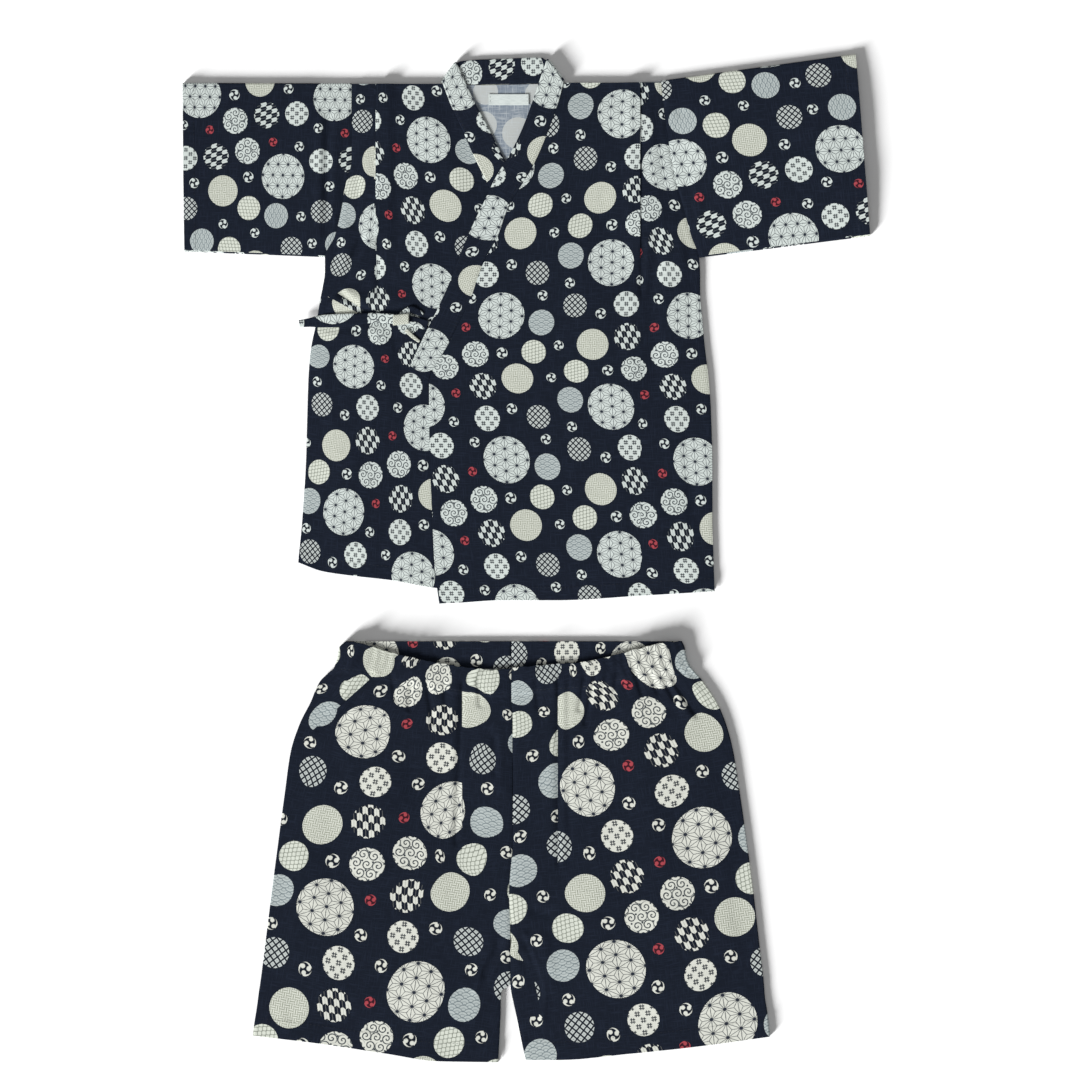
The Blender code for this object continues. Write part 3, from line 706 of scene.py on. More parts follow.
def right_front_under(x, y):
    """Underside of the right front: off the back in the middle, low under the left front."""
    side = ease(x - curve(RIGHT_FRONT, y, 2), 0, SIDE_FADE)
    ends = ease(SHOULDER - y, 0, END_FADE) * ease(y - curve(RIGHT_HEM, x), 0, END_FADE)
    neck = ease(curve(RIGHT_FRONT, y, 1) - x, 0, END_FADE)
    overlap = curve(OVERLAP, y)
    covered = ease(x, overlap - 30, overlap - 4)
    puff = FRONT_PUFF * side * ends * neck
    puff = puff + folds(RIGHT_FRONT_FOLDS, x, y) * ease(side, 0, 0.1) * ends
    puff = puff + (ripple(x, y, 11, 75, 0.4) + ripple(x, y, 13, 24, 0.16)) * side * ends * neck
    return FIRST + np.clip(puff * (1 - 0.55 * covered), 0, 4.2 - 3.3 * covered)


def left_front_under(x, y):
    """Underside of the left front: on the right front as far as that goes, then on the back."""
    side = ease(curve(LEFT_FRONT, y, 2) - x, 0, SIDE_FADE)
    ends = ease(SHOULDER - y, 0, END_FADE) * ease(y - curve(LEFT_HEM, x), 0, END_FADE)
    puff = FRONT_PUFF * side * ends + folds(LEFT_FRONT_FOLDS, x, y) * ease(side, 0, 0.4)
    puff = puff + (ripple(x, y, 12, 75, 0.45) + ripple(x, y, 14, 24, 0.16)) * side * ends
    puff = np.clip(puff, 0, None)
    on_right = 1 - ease(x - curve(UNDERLAP, y), 2, 45)
    on_right = on_right * (1 - ease(y, 362, 392))
    return FIRST + puff * (1 - 0.6 * on_right) + (SECOND - FIRST) * on_right


RIGHT_TUCK, LEFT_TUCK = -135, 102
RIGHT_FADE, LEFT_FADE = (258, 292), (262, 292)  # heights over which each tuck opens out
RIGHT_TUCK_HIDES = [  # height, width of the hidden cloth
    (233, 0), (255, 7.7), (263, 11), (285, 18), (305, 22), (334, 27), (357, 35), (392, 38),
    (427, 43),
]
RIGHT_SLACK = [  # height, how far the print lies to the side there, and how far up
    (-15, -1.5, 0.5), (14, -0.5, 1.4), (36, 0.3, 1.8), (58, 2.2, 2.1), (79, 4.2, 1.9),
    (101, 5.2, 2.0), (122, 5.9, 1.8), (144, 4.8, 2.0), (166, 1.8, 1.8), (187, -0.1, -0.3),
    (209, 0, -1.1), (230, 0.3, -1.5), (252, -0.6, -3.0), (274, -1.0, -2.8), (317, -2.0, -1.6),
    (360, -1.9, -2.3), (403, -1.4, -2.6),
]
TIE_FOLD = [  # its edges, each from one place to another, with the fold on their right
    (-173, 240, -145, 222), (-150, 219.5, -177, 234), (-179, 220, -179, 240),
    (-130, 220, -190, 220),
]
TIE_FOLD_SHIFT = (25.4, 9.0)
LEFT_TUCK_HIDES = [
    (218, 1.4), (256, 2.7), (285, 10), (316, 19), (350, 32), (388, 40), (427, 44.5),
]
LEFT_SIDE_SLACK = [
    (-9, 1.7, -2.1), (11, 0.9, -2.0), (31, 2.0, -0.3), (50, 2.3, -0.5), (70, 2.2, 0),
    (90, 1.9, 0.3), (110, 1.9, 0.6), (130, 1.7, 1.7), (149, 2.5, 1.2), (169, 2.0, 1.1),
    (189, 2.0, 1.5), (209, 1.1, 2.4), (229, 0.8, 1.6), (248, -2.2, 2.3), (268, -3, 2.3),
    (300, -2, 2.6), (350, 0, 3.2), (427, 0, 3.2),
]
RIGHT_MIDDLE_LINE = [(-131.7, -105), (-15, -102), (117, -98.3), (247, -84.4), (379, -87.9)]
RIGHT_LEAF_HEIGHT = 247  # where the middle line passes a big hemp leaf
RIGHT_LEAN, RIGHT_STRETCH = 0.12, 1.12
LEFT_REPEAT = ((27, 176), (170.1, -1.8), (0, -132.6))
LEFT_BOW, LEFT_BOW_HEIGHT, LEFT_BOW_REACH = 9.9, 200.7, 200
LEFT_SIDE = (100, 122)  # across the tuck, where the side's own slack sets in
LEFT_SLACK = [
    (0, -1.8, 2.3), (18, -1.6, 2.6), (61, 0.3, 2.1), (104, -0.1, 2.8), (148, -1.6, 2.7),
    (191, -2.2, -0.3), (234, -1.1, -0.6), (277, -1.2, -0.2), (317, 0.5, -0.5), (360, 2.2, -1.0),
    (403, -1.4, 2.2),
]


def right_front_print(x, y):
    """The right front's print: it leans a little, and the tuck hides a strip of it."""
    middle = curve(RIGHT_MIDDLE_LINE, y)
    x, y = x - curve(RIGHT_SLACK, y, 1), y - curve(RIGHT_SLACK, y, 2)
    across = np.where(x < middle, RIGHT_STRETCH, 1.0) * (x - middle)
    up = y + RIGHT_LEAN * (x - middle) - RIGHT_LEAF_HEIGHT
    hidden = curve(RIGHT_TUCK_HIDES, y) * (x < RIGHT_TUCK)
    leaf_x, leaf_y = MIDDLE_OF[hemp_leaf]
    return np.stack([leaf_x + across - hidden, leaf_y + up], axis=-1)


def left_front_print(x, y):
    """The left front's print: it bows a little, and the tuck hides a strip of it."""
    hidden = curve(LEFT_TUCK_HIDES, y) * (x > LEFT_TUCK)
    beside = ease(x, *LEFT_SIDE)
    x, y = (x - curve(LEFT_SLACK, y, 1) - beside * curve(LEFT_SIDE_SLACK, y, 1),
            y - curve(LEFT_SLACK, y, 2) - beside * curve(LEFT_SIDE_SLACK, y, 2))
    bowed = x - LEFT_BOW * ((y - LEFT_BOW_HEIGHT) / LEFT_BOW_REACH) ** 2
    return print_at(bowed + hidden, y, *LEFT_REPEAT)


def front_top(under, edges, tuck, hem_line, fade, seed, x, y):
    """A front's upper face: the tuck's ridge, the hem, and the seams sunk at its sides."""
    inwards = np.sign(tuck - curve(edges, y, 2)) * (x - tuck)
    ridge = TUCK_RISE * ease(y, *fade) * (1 - ease(inwards, 0.7 * TUCK_WIDTH, 1.5 * TUCK_WIDTH))
    ridge = np.where(inwards > 0, ridge, 0)
    seam = soft_line(x - curve(edges, y, 2), -SEAM_SINK, SEAM_WIDTH)
    turned = hem(y - curve(hem_line, x), x, HEM, seed)
    return under(x, y) + CLOTH + ridge + seam + turned


def front(name, edges, tuck, hem_line, under, fade, printing, seed):
    """A front panel's sheet."""
    top, bottom = edges[0][0], edges[-1][0]
    heights = np.concatenate([spread(top, bottom), bottom + HEM + np.array([-1.8, -0.9, 0, 0.9])])
    heights = np.unique(heights)[::-1]
    side = np.sign(edges[0][2] - edges[0][1])
    outer, inner = curve(edges, heights, 2), curve(edges, heights, 1)
    x = np.concatenate([spread(outer, tuck + 0.12 * side, 1.4),
                        spread(tuck - 0.12 * side, inner)], axis=-1)
    level = heights[:, None]
    y = level + (curve(hem_line, x) - bottom) * (1 - ease(level, bottom, 75))
    z = front_top(under, edges, tuck, hem_line, fade, seed, x, y)
    upper = np.stack([x, y, z], axis=-1)
    mapped = printing(x, y)
    return cloth(name, upper, upper - (0, 0, THIN), (mapped, mapped),
                 (jacket_print, jacket_wrong_side))


def shift_print(piece, lines, shift):
    """Shift the print on the right of some lines, where a fold lies, cutting the mesh at them."""
    shape = bmesh.new()
    shape.from_mesh(piece.data)
    for from_x, from_y, to_x, to_y in lines:
        bmesh.ops.bisect_plane(shape, geom=shape.verts[:] + shape.edges[:] + shape.faces[:],
                               dist=1e-6, plane_co=(from_x * MM, from_y * MM, 0),
                               plane_no=(to_y - from_y, from_x - to_x, 0))
    layer = shape.loops.layers.uv["cloth"]
    for face in shape.faces:
        x, y, _ = face.calc_center_median() / MM
        if all((x - from_x) * (to_y - from_y) > (y - from_y) * (to_x - from_x)
               for from_x, from_y, to_x, to_y in lines):
            for corner in face.loops:
                across, up = shift(*corner.vert.co.xy / MM)
                corner[layer].uv.x += across
                corner[layer].uv.y += up
    shape.to_mesh(piece.data)
    shape.free()


STITCH, STITCH_PITCH, STITCH_WIDTH = 2.7, 3.6, 0.42
STITCH_INSET = 1.2  # from a hem's fold to its row of stitches
THREAD_COLOUR = "#0e131d"

# The thread is dark and dull, and a little smoother than the cloth round it.
thread, _, _ = finished("spun_polyester_thread", {
    "Base Color": linear(THREAD_COLOUR), "Roughness": 0.6})


def run_of(points):
    """How far each point of a line lies from its start, along the line as seen from above."""
    return np.concatenate([[0], np.cumsum(np.hypot(*np.diff(points[:, :2], axis=0).T))])


def stitching(name, sheet, *lines):
    """Rows of running stitches: short low ridges of thread, sunk at both ends, on a sheet."""
    mesh = sheet.data
    surface = BVHTree.FromPolygons([v.co for v in mesh.vertices],
                                   [face.vertices[:] for face in mesh.polygons])
    points, faces = [], []
    for line in lines:
        line = np.array(line, float)
        reach = run_of(line)
        for start in np.arange(0.5, reach[-1] - STITCH, STITCH_PITCH):
            at = np.array([start, start + STITCH / 2, start + STITCH])
            middle = np.stack([np.interp(at, reach, line[:, 0]),
                               np.interp(at, reach, line[:, 1])], axis=-1)
            along = middle[2] - middle[0]
            side = np.array([-along[1], along[0]]) / np.hypot(*along) * STITCH_WIDTH / 2
            hits = [surface.ray_cast((*(place * MM), 1), (0, 0, -1))[0] for place in middle]
            if None in hits:
                continue
            base = len(points)
            for place, hit, rise in zip(middle, hits, (-0.12, 0.2, -0.12)):
                level = hit.z / MM
                for off, lift in ((-1, -0.1), (0, rise), (1, -0.1)):
                    points.append((*(place + side * off), level + lift))
            for row in (0, 3):
                for column in (0, 1):
                    corner = base + row + column
                    faces.append((corner, corner + 1, corner + 4, corner + 3))
    shape = bpy.data.meshes.new(name)
    shape.from_pydata((np.array(points) * MM).tolist(), [], [face[::-1] for face in faces])
    shape.materials.append(thread)
    return piece_of(shape)


right_front = front("right_front_panel", RIGHT_FRONT, RIGHT_TUCK, RIGHT_HEM, right_front_under,
                    RIGHT_FADE, right_front_print, 21)
shift_print(right_front, TIE_FOLD, lambda x, y: TIE_FOLD_SHIFT)
left_front = front("left_front_panel", LEFT_FRONT, LEFT_TUCK, LEFT_HEM, left_front_under,
                   LEFT_FADE, left_front_print, 22)
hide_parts("right_front")
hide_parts("left_front")
right_span, left_span = np.linspace(-203, -92, 60), np.linspace(-79, 166, 120)
right_hem_stitches = stitching(
    "right_hem_stitches", right_front,
    np.stack([right_span, curve(RIGHT_HEM, right_span) + HEM - STITCH_INSET], axis=-1))
left_hem_stitches = stitching(
    "left_hem_stitches", left_front,
    np.stack([left_span, curve(LEFT_HEM, left_span) + HEM - STITCH_INSET], axis=-1))


# ---------------------------------------------------------------------------------------------
# The sleeves: one piece each, folded at the top and sewn along the underarm, pressed flat. The
# print runs across them. Cuffs are turned up twice and stitched.

SLEEVE_PUFF = 2.4
CUFF_HEM = 11
OUTER_RADIUS = CLOTH + GAP / 2
RIGHT_SLEEVE = (427.5, 271.0, -310, 428, -308.5, 276)  # seam top and bottom, cuff corners
LEFT_SLEEVE = (430.0, 270.5, 296, 454, 309, 290)
RIGHT_SLEEVE_REPEAT = ((-254.8, 463.0), (4.4, 166.4), (121.5, -2.7))
LEFT_SLEEVE_REPEAT = ((320.8, 421.8), (-24.0, 174.0), (143.4, 12.3))
RIGHT_SLEEVE_FOLDS = [
    (-179, 405, -181, 280, 3.5, -1.8), (-186, 400, -187, 285, 4, 1.3),
    (-171, 400, -174, 300, 4, 0.8), (-255, 400, -300, 330, 14, 0.7),
    (-230, 300, -290, 296, 9, 0.5),
]
LEFT_SLEEVE_FOLDS = [
    (134, 428, 139, 398, 3.5, -1.5), (142, 350, 148, 285, 3.5, -1.6), (150, 345, 157, 285, 5, 1.2),
    (240, 400, 292, 330, 14, 0.8), (170, 300, 250, 305, 10, 0.5),
]


def sleeve(name, sizes, edges, fold_table, repeat, seed):
    """A sleeve's sheet: a ring round its top fold and underarm seam at each station."""
    seam_top, seam_bottom, cuff_top_x, cuff_top, cuff_bottom_x, cuff_bottom = sizes
    stations = spread(0, abs(cuff_top_x - edges[0][2]))
    stations = np.unique(np.concatenate([
        stations, stations[-1] - CUFF_HEM + np.array([-0.9, 0, 0.9])]))
    stations = (stations / stations[-1])[:, None]
    top = seam_top + (cuff_top - seam_top) * stations
    bottom = seam_bottom + (cuff_bottom - seam_bottom) * stations
    down = spread(0, seam_top - seam_bottom) / (seam_top - seam_bottom)
    turn = np.radians([-66, -40, -14, 14, 40, 66])[None]
    half, bend = down.size, turn.size
    grids, maps = [], []
    for radius, low, rise in ((OUTER_RADIUS, 0, THIN), (OUTER_RADIUS - THIN, THIN, 0)):
        run = top - bottom - 2 * OUTER_RADIUS
        straight = top - OUTER_RADIUS - run * down[None]
        y = np.concatenate([
            straight, bottom + OUTER_RADIUS - radius * np.cos(turn), straight[:, ::-1],
            top - OUTER_RADIUS + radius * np.cos(turn),
        ], axis=1)
        share = np.clip((top - y) / (top - bottom), 0, 1)
        seam_x = curve(edges, seam_top + (seam_bottom - seam_top) * share, 2)
        cuff_x = cuff_top_x + (cuff_bottom_x - cuff_top_x) * share
        x = seam_x + (cuff_x - seam_x) * stations
        swell = np.sin(math.pi * share)
        puff = SLEEVE_PUFF * swell**0.7 * ease(stations, 0, 0.2)
        puff = puff + (folds(fold_table, x, y) + ripple(x, y, seed, 60, 0.4)) * swell**0.5
        puff = np.clip(puff, 0, None)
        depth = (1 - stations) * np.abs(cuff_x - seam_x)
        seam = soft_line(x - seam_x, -SEAM_SINK, SEAM_WIDTH)
        puff = puff + hem(depth, y, CUFF_HEM, seed) + seam
        z = np.full_like(y, low)
        ahead = slice(half + bend, 2 * half + bend)
        z[:, half:half + bend] = OUTER_RADIUS + radius * np.sin(turn)
        z[:, ahead] = FIRST + CLOTH - THIN + rise + puff[:, ahead]
        z[:, -bend:] = OUTER_RADIUS - radius * np.sin(turn)
        behind = np.ones(y.shape[1], bool)
        behind[ahead] = False
        grids.append(np.stack([x, y, z], axis=-1))
        maps.append(print_at(x, np.where(behind, 2 * top - y, y), *repeat))
    return cloth(name, *grids, maps, (jacket_print, jacket_wrong_side), round_about=True)


for side, sizes, edges, fold_table, repeat, seed in (
    ("right", RIGHT_SLEEVE, RIGHT_FRONT, RIGHT_SLEEVE_FOLDS, RIGHT_SLEEVE_REPEAT, 31),
    ("left", LEFT_SLEEVE, LEFT_FRONT, LEFT_SLEEVE_FOLDS, LEFT_SLEEVE_REPEAT, 32),
):
    panel = sleeve(side + "_sleeve_panel", sizes, edges, fold_table, repeat, seed)
    top_x, top_y, bottom_x, bottom_y = sizes[2:]
    inset = (CUFF_HEM - STITCH_INSET) * np.sign(top_x)
    row = stitching(side + "_cuff_stitches", panel,
                    [(top_x - inset, top_y - 2), (bottom_x - inset, bottom_y + 2)])
    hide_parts(side + "_sleeve")


# ---------------------------------------------------------------------------------------------
# The collar: a straight strip folded lengthwise and sewn round both fronts and the neck. It is
# turned over itself on each side of the neck, so its inner face shows behind it.

BAND = 2.2
BAND_ROOM = BAND + GAP
COLLAR_INSET = 2.2  # from the collar's edges to their rows of stitches
NECK = [  # the sewn edge's x and y, and the free edge's
    (-75, 427.5, -62.5, 446.5), (-66, 427, -60, 447.5), (-44, 426.5, -44, 449),
    (-14, 427, -14, 450), (8, 427.5, 8, 451), (24, 428, 14, 450.5), (32, 429, 17, 448.5),
]
RIGHT_ARM = [  # the sewn edge's height, the free edge's x and y, and the level it lies on
    (158, 71, 169, FIRST), (192, 56, 203, FIRST), (216, 44, 227, FIRST), (258, 25, 268, FIRST),
    (290, 9, 299, FIRST), (315, -4, 325, FIRST), (338, -13, 346, FIRST), (358, -24, 366, FIRST),
    (385, -36, 390, FIRST), (404, -47, 410, BAND_ROOM), (415, -54, 425, BAND_ROOM),
    (427, -63, 445, BAND_ROOM),
]
LEFT_ARM = [
    (158, -107, 169, SECOND), (192, -93, 199, SECOND), (214, -82, 221, SECOND),
    (238, -71, 245, SECOND), (270, -59, 276, SECOND), (290, -50, 297, SECOND),
    (315, -37, 324, SECOND), (332, -29, 341, SECOND), (354, -15, 364, SECOND), (379, -4, 387, 3.6),
    (406, 6, 414, 2.9), (418, 12, 432, BAND_ROOM), (428, 17.5, 448, BAND_ROOM),
]
BAND_WIDTH = 21.5
LEAF_STEPS = (-2, 0, 1, 2, 3, 5)  # the leaves' repeats, with one beyond each end of the collar
FIRST_LEAVES = 2.06  # repeats between the first two: the print is a little stretched there
# Low on the left arm the print lies a little to the side: how far, and between which distances
# past the leaf that lies half way down it.
ASIDE, ASIDE_FROM, ASIDE_TO = -5.2, 12, 45
HEMP_LEAVES = [(-63.8, 421.8), (19.2, 427.4), (-33.3, 306), (-89.1, 187.2)]  # on the middle line


def arm(edges, free_table):
    """The collar's sections along a front, from its end up to the shoulder, facing up."""
    heights = spread(free_table[0][0], free_table[-1][0])
    free = [curve(free_table, heights, column) for column in (1, 2, 3)]
    level = np.zeros_like(heights)
    return np.stack([curve(edges, heights), heights, *free, level, level, level + 1], axis=1)


def turned_over(before, after, neck_middle):
    """The sections of a strip's turn between two layers, bulging away from the neck."""
    edge = (before + after) / 2
    line = edge[2:4] - edge[:2]
    out = np.array([line[1], -line[0]]) / np.hypot(*line)
    out *= -np.sign(out @ (neck_middle - edge[:2]))
    radius = BAND_ROOM / 2
    angles = np.radians(np.linspace(-78, 78, 9)) * np.sign(after[4] - before[4])
    facing = np.column_stack([out * np.cos(angles)[:, None], np.sin(angles)])
    shift = facing[:, :2] * radius
    under = radius + radius * np.sin(angles)
    return np.column_stack([edge[:2] + shift, edge[2:4] + shift, under, facing])


right_arm, left_arm = arm(RIGHT_FRONT, RIGHT_ARM), arm(LEFT_FRONT, LEFT_ARM)[::-1]
rows = np.array(NECK, float)
shares = np.linspace(0, 1, 44)  # sections round the neck
neck = np.column_stack([
    *[np.interp(shares * (len(rows) - 1), range(len(rows)), column) for column in rows.T],
    np.tile([0, 0, 0, -1], (len(shares), 1)),
])
neck_middle = (rows[0, :2] + rows[-1, :2]) / 2
sections = np.concatenate([
    right_arm, turned_over(right_arm[-1], neck[0], neck_middle), neck,
    turned_over(neck[-1], left_arm[0], neck_middle), left_arm,
])
sewn, free, under, facing = np.split(sections, (2, 4, 5), axis=1)
widths = np.hypot(*(free - sewn).T)
across = np.unique(np.concatenate([[0, 0.02, 0.055, 0.11], np.linspace(0.16, 0.84, 12),
                                   [0.89, 0.945, 0.98, 1]])) - 0.5
line = np.concatenate([(sewn + free) / 2, under + BAND / 2], axis=1)
reach = np.concatenate([free - sewn, 0 * under], axis=1)
grid = line[:, None] + reach[:, None] * across[None, :, None]
edge_off = (0.5 - np.abs(across))[None] * widths[:, None]
half = BAND / 2 * (1 - 0.55 * np.exp(-edge_off / 0.7))
along = run_of(line)
uneven = ripple(along[:, None], across[None] * 24, 41, 46, 0.3)
lift = facing[:, None] * (half + uneven * (edge_off > 0))[..., None]
sink = facing[:, None] * half[..., None]
marks = [along[np.argmin(np.hypot(*(line[:, :2] - leaf).T))] for leaf in HEMP_LEAVES]
marks = [marks[0] - FIRST_LEAVES * REPEAT[1], *marks, marks[-1] + 2 * REPEAT[1]]
leaf_x, leaf_y = MIDDLE_OF[hemp_leaf]
down = np.interp(along, marks, [leaf_y - REPEAT[1] * step for step in LEAF_STEPS])
aside = np.interp(along, (marks[-3] + ASIDE_FROM, marks[-3] + ASIDE_TO), (0, ASIDE))[:, None]
outer_across = leaf_x - aside - across * BAND_WIDTH
inner_across = leaf_x - aside - BAND_WIDTH * (1 - across)
collar_prints = [
    np.stack(np.broadcast_arrays(side, down[:, None]), axis=-1)
    for side in (outer_across, inner_across)
]
collar = cloth("collar_band", grid + lift, grid - sink, collar_prints,
               (jacket_print, jacket_print))
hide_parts("collar")
collar_lines = []
plain = 6  # sections without stitches at each end of an arm
for run in (slice(plain, len(right_arm) - plain),
            slice(len(sections) - len(left_arm) + plain, -plain)):
    inset = (free[run] - sewn[run]) * COLLAR_INSET / widths[run, None]
    collar_lines += [sewn[run] + inset, free[run] - inset]
collar_stitches = stitching("collar_stitches", collar, *collar_lines)


# ---------------------------------------------------------------------------------------------
# The ties: narrow strips of the same cloth, folded, knotted in a small bow where the left
# front's edge meets the right side seam. They lie on the right front.

SIDE_TIE = [  # x, y, half width, and how far it is lifted off what lies below
    (-205, 210.9, 3.2, 0), (-196, 212, 3.9, 0), (-187, 213, 5.4, 0), (-172, 213.6, 6.0, 0),
    (-161.5, 214, 5.8, 0), (-147.5, 215.4, 4.8, 0), (-137.7, 216, 4.5, 0.2),
    (-128, 215.6, 4.4, 0.6), (-118, 214.8, 4.2, 1.2),
]
FRONT_TIE = [
    (-108, 214.2, 4.0, 1.2), (-103, 213.3, 4.2, 0.9), (-97, 211.6, 4.4, 0.5),
    (-92.5, 210.2, 4.5, 0.3), (-89.5, 209.4, 4.4, 0.3),
]
SMALL_LOOP = [
    (-111, 220.4, 2.6, 1.2), (-104, 223.2, 3.3, 1.9), (-97, 220.6, 2.6, 1.0),
    (-94, 218.4, 1.8, 0.6),
]
TAIL = [(-109, 205, 1.8, 1.0), (-103.5, 199.8, 1.7, 0.5), (-96.8, 194.6, 1.3, 0.2)]
KNOT = (-113.2, 214.3, 7.2, 4.7, 2.4)  # middle x and y, half width, half height, thickness
KNOT_ABOVE, KNOT_LEAN = 3.6, 0.105
TIE_TURN, TIE_SCALE = -98.7, 0.86  # of the side tie's print: degrees, and size beside the garment's
LOOP_TURN, KNOT_TURN = 45, 40
LOOP_MIDDLE = (-63, 18)  # the print's place there, between a hemp leaf and a scroll


def laid_print(x, y, middle, motif_middle, turn=0, scale=1):
    """Places in the print where a turned scrap of it lies with a motif's middle at a place."""
    cos, sin = scale * math.cos(math.radians(turn)), scale * math.sin(math.radians(turn))
    off_x, off_y = x - middle[0], y - middle[1]
    return np.stack([motif_middle[0] + off_x * cos - off_y * sin,
                     motif_middle[1] + off_x * sin + off_y * cos], axis=-1)


def strip(name, rows, seed, *print_place):
    """A tie's run: a flat folded strip with soft edges and a low crease along it."""
    rows = np.array(rows)
    reach = run_of(rows)
    at = spread(0, reach[-1], 1.2)
    x, y, half_width, above = [curve(list(zip(reach, column)), at) for column in rows.T]
    slope_x, slope_y = np.gradient(x, at), np.gradient(y, at)
    size = np.hypot(slope_x, slope_y)
    shares = np.array([-1, -0.95, -0.82, -0.6, -0.3, 0, 0.3, 0.6, 0.82, 0.95, 1])[None]
    wide = half_width[:, None] * shares
    place_x = x[:, None] - (slope_y / size)[:, None] * wide
    place_y = y[:, None] + (slope_x / size)[:, None] * wide
    level = right_front_under(place_x, place_y).max(axis=1)[:, None] + CLOTH + GAP
    level = level + above[:, None]
    soft = CLOTH * (1 - 0.6 * np.abs(shares) ** 10)
    crease = ripple(at[:, None], wide * 3, seed, 24, 0.25)
    lower = np.stack([place_x, place_y, level + 0 * soft], axis=-1)
    upper = np.stack([place_x, place_y, level + soft + crease], axis=-1)
    mapped = laid_print(place_x, place_y, *print_place)
    return cloth(name, upper, lower, (mapped, mapped), (jacket_print, jacket_print))


side_tie = strip("side_tie_strip", SIDE_TIE, 51, (-174.3, 234.6), MIDDLE_OF[hemp_leaf], TIE_TURN,
                 TIE_SCALE)
front_tie = strip("front_tie_strip", FRONT_TIE, 52, (-103, 200.6), MIDDLE_OF[scrolls])
tie_loop = strip("tie_loop_strip", SMALL_LOOP, 53, (-103, 222), LOOP_MIDDLE, LOOP_TURN)
tie_tail = strip("tie_tail_strip", TAIL, 54, (-103, 199), MIDDLE_OF[key_fret])

knot_x, knot_y, knot_wide, knot_high, knot_thick = KNOT
turns = np.linspace(0, math.tau, 29)[:-1]
stations = np.linspace(-1, 1, 13)
knot_level = right_front_under(knot_x, knot_y) + CLOTH + KNOT_ABOVE
rings = []
for size in (1.0, 0.6):
    shape_across = np.sign(np.cos(turns)) * np.abs(np.cos(turns)) ** 0.6
    shape_up = np.sign(np.sin(turns)) * np.abs(np.sin(turns)) ** 0.8
    waist = 1 - 0.12 * np.cos(stations * math.pi)[:, None]
    y = knot_y + KNOT_LEAN * knot_wide * stations[:, None] + knot_high * size * shape_across
    x = knot_x + knot_wide * stations[:, None] * (0.92 + 0.08 * size)
    z = knot_level + knot_thick / 2 * (1 + size * shape_up * waist)
    x, y, z = np.broadcast_arrays(x, y, z)
    rings.append(np.stack([x, y, z], axis=-1))
knot_print = laid_print(*np.moveaxis(rings[0], -1, 0)[:2], (knot_x, knot_y),
                        MIDDLE_OF[key_fret], KNOT_TURN)
tie_knot = cloth("tie_knot_wrap", *rings, (knot_print, knot_print), (jacket_print, jacket_print),
                 round_about=True)

for piece, node, flat, area in (
    (side_tie, "side_tie", (0.012, 0.09), 0.00102),
    (front_tie, "front_tie", (0.01, 0.019), 0.00018),
    (tie_loop, "tie_loop", (0.01, 0.0145), 0.0001),
    (tie_tail, "tie_tail", (0.01, 0.0155), 0.0001),
    (tie_knot, "tie_knot", (0.012, 0.026), 0.00028),
):
    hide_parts(node)


# ---------------------------------------------------------------------------------------------
# The neck label: a blank woven satin ribbon, folded under and stitched at both ends inside the
# back of the neck.

LABEL_X, LABEL_Y, LABEL_HALF_WIDTH, LABEL_HALF_HEIGHT = -16.5, 412.8, 18, 5
LABEL_ROOM, RIBBON = 0.8, 0.35  # its thickness in the frame, and the ribbon's own
LABEL_LEAN = 0.01
LABEL_INSET = 1.4  # from its ends to their rows of stitches
SATIN, SATIN_SHADE = "#dfe7e4", "#ccd5d3"

# The ribbon is pale and half glossy, with fine ribs along it and faint uneven threads.
satin, tree, finish = finished("woven_label_satin", {"Roughness": 0.5, "Sheen Weight": 0.1})
place = add(tree, "UVMap", uv_map="cloth")
ribs = near_line(tree, component(tree, place, (0, 1, 0)), 1.3, 0.3)
worn = slubs(tree, place, 5.0, 1.0, 0.4, 0.8)
shade = maths(tree, "MULTIPLY_ADD", ribs, 0.35, worn)
colour = mixed(tree, shade, linear(SATIN), linear(SATIN_SHADE))
tree.links.new(colour, finish["Base Color"])
relief = add(tree, "Bump", 0.15, 0.1 * MM, None, ribs)
tree.links.new(relief, finish["Normal"])

label_x = LABEL_X + spread(-LABEL_HALF_WIDTH, LABEL_HALF_WIDTH, 1.5)[None]
label_y = LABEL_Y + spread(-LABEL_HALF_HEIGHT, LABEL_HALF_HEIGHT, 1.5)[::-1, None]
label_x, label_y = np.broadcast_arrays(label_x - LABEL_LEAN * (label_y - LABEL_Y), label_y)
end_off = LABEL_HALF_WIDTH - np.abs(label_x - LABEL_X)
label_top = FIRST + LABEL_ROOM + ripple(label_x, label_y, 61, 26, 0.3)
label_top = label_top + 0.25 * np.exp(-end_off / 1.5)
upper = np.stack([label_x, label_y, label_top], axis=-1)
label_map = upper[..., :2]
label = cloth("neck_label_ribbon", upper, upper - (0, 0, RIBBON), (label_map, label_map),
              (satin, satin))
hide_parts("neck_label")
label_ends = [[(LABEL_X + end * (LABEL_HALF_WIDTH - LABEL_INSET), LABEL_Y + 4.2),
               (LABEL_X + end * (LABEL_HALF_WIDTH - LABEL_INSET), LABEL_Y - 4.4)]
              for end in (-1, 1)]
label_stitches = stitching("label_stitches", label, *label_ends)


# ---------------------------------------------------------------------------------------------
# The shorts: each leg is one piece, folded at its outer side and sewn to the other down the
# middle. Elastic in a stitched casing draws the waist in. The print is larger than the jacket's.

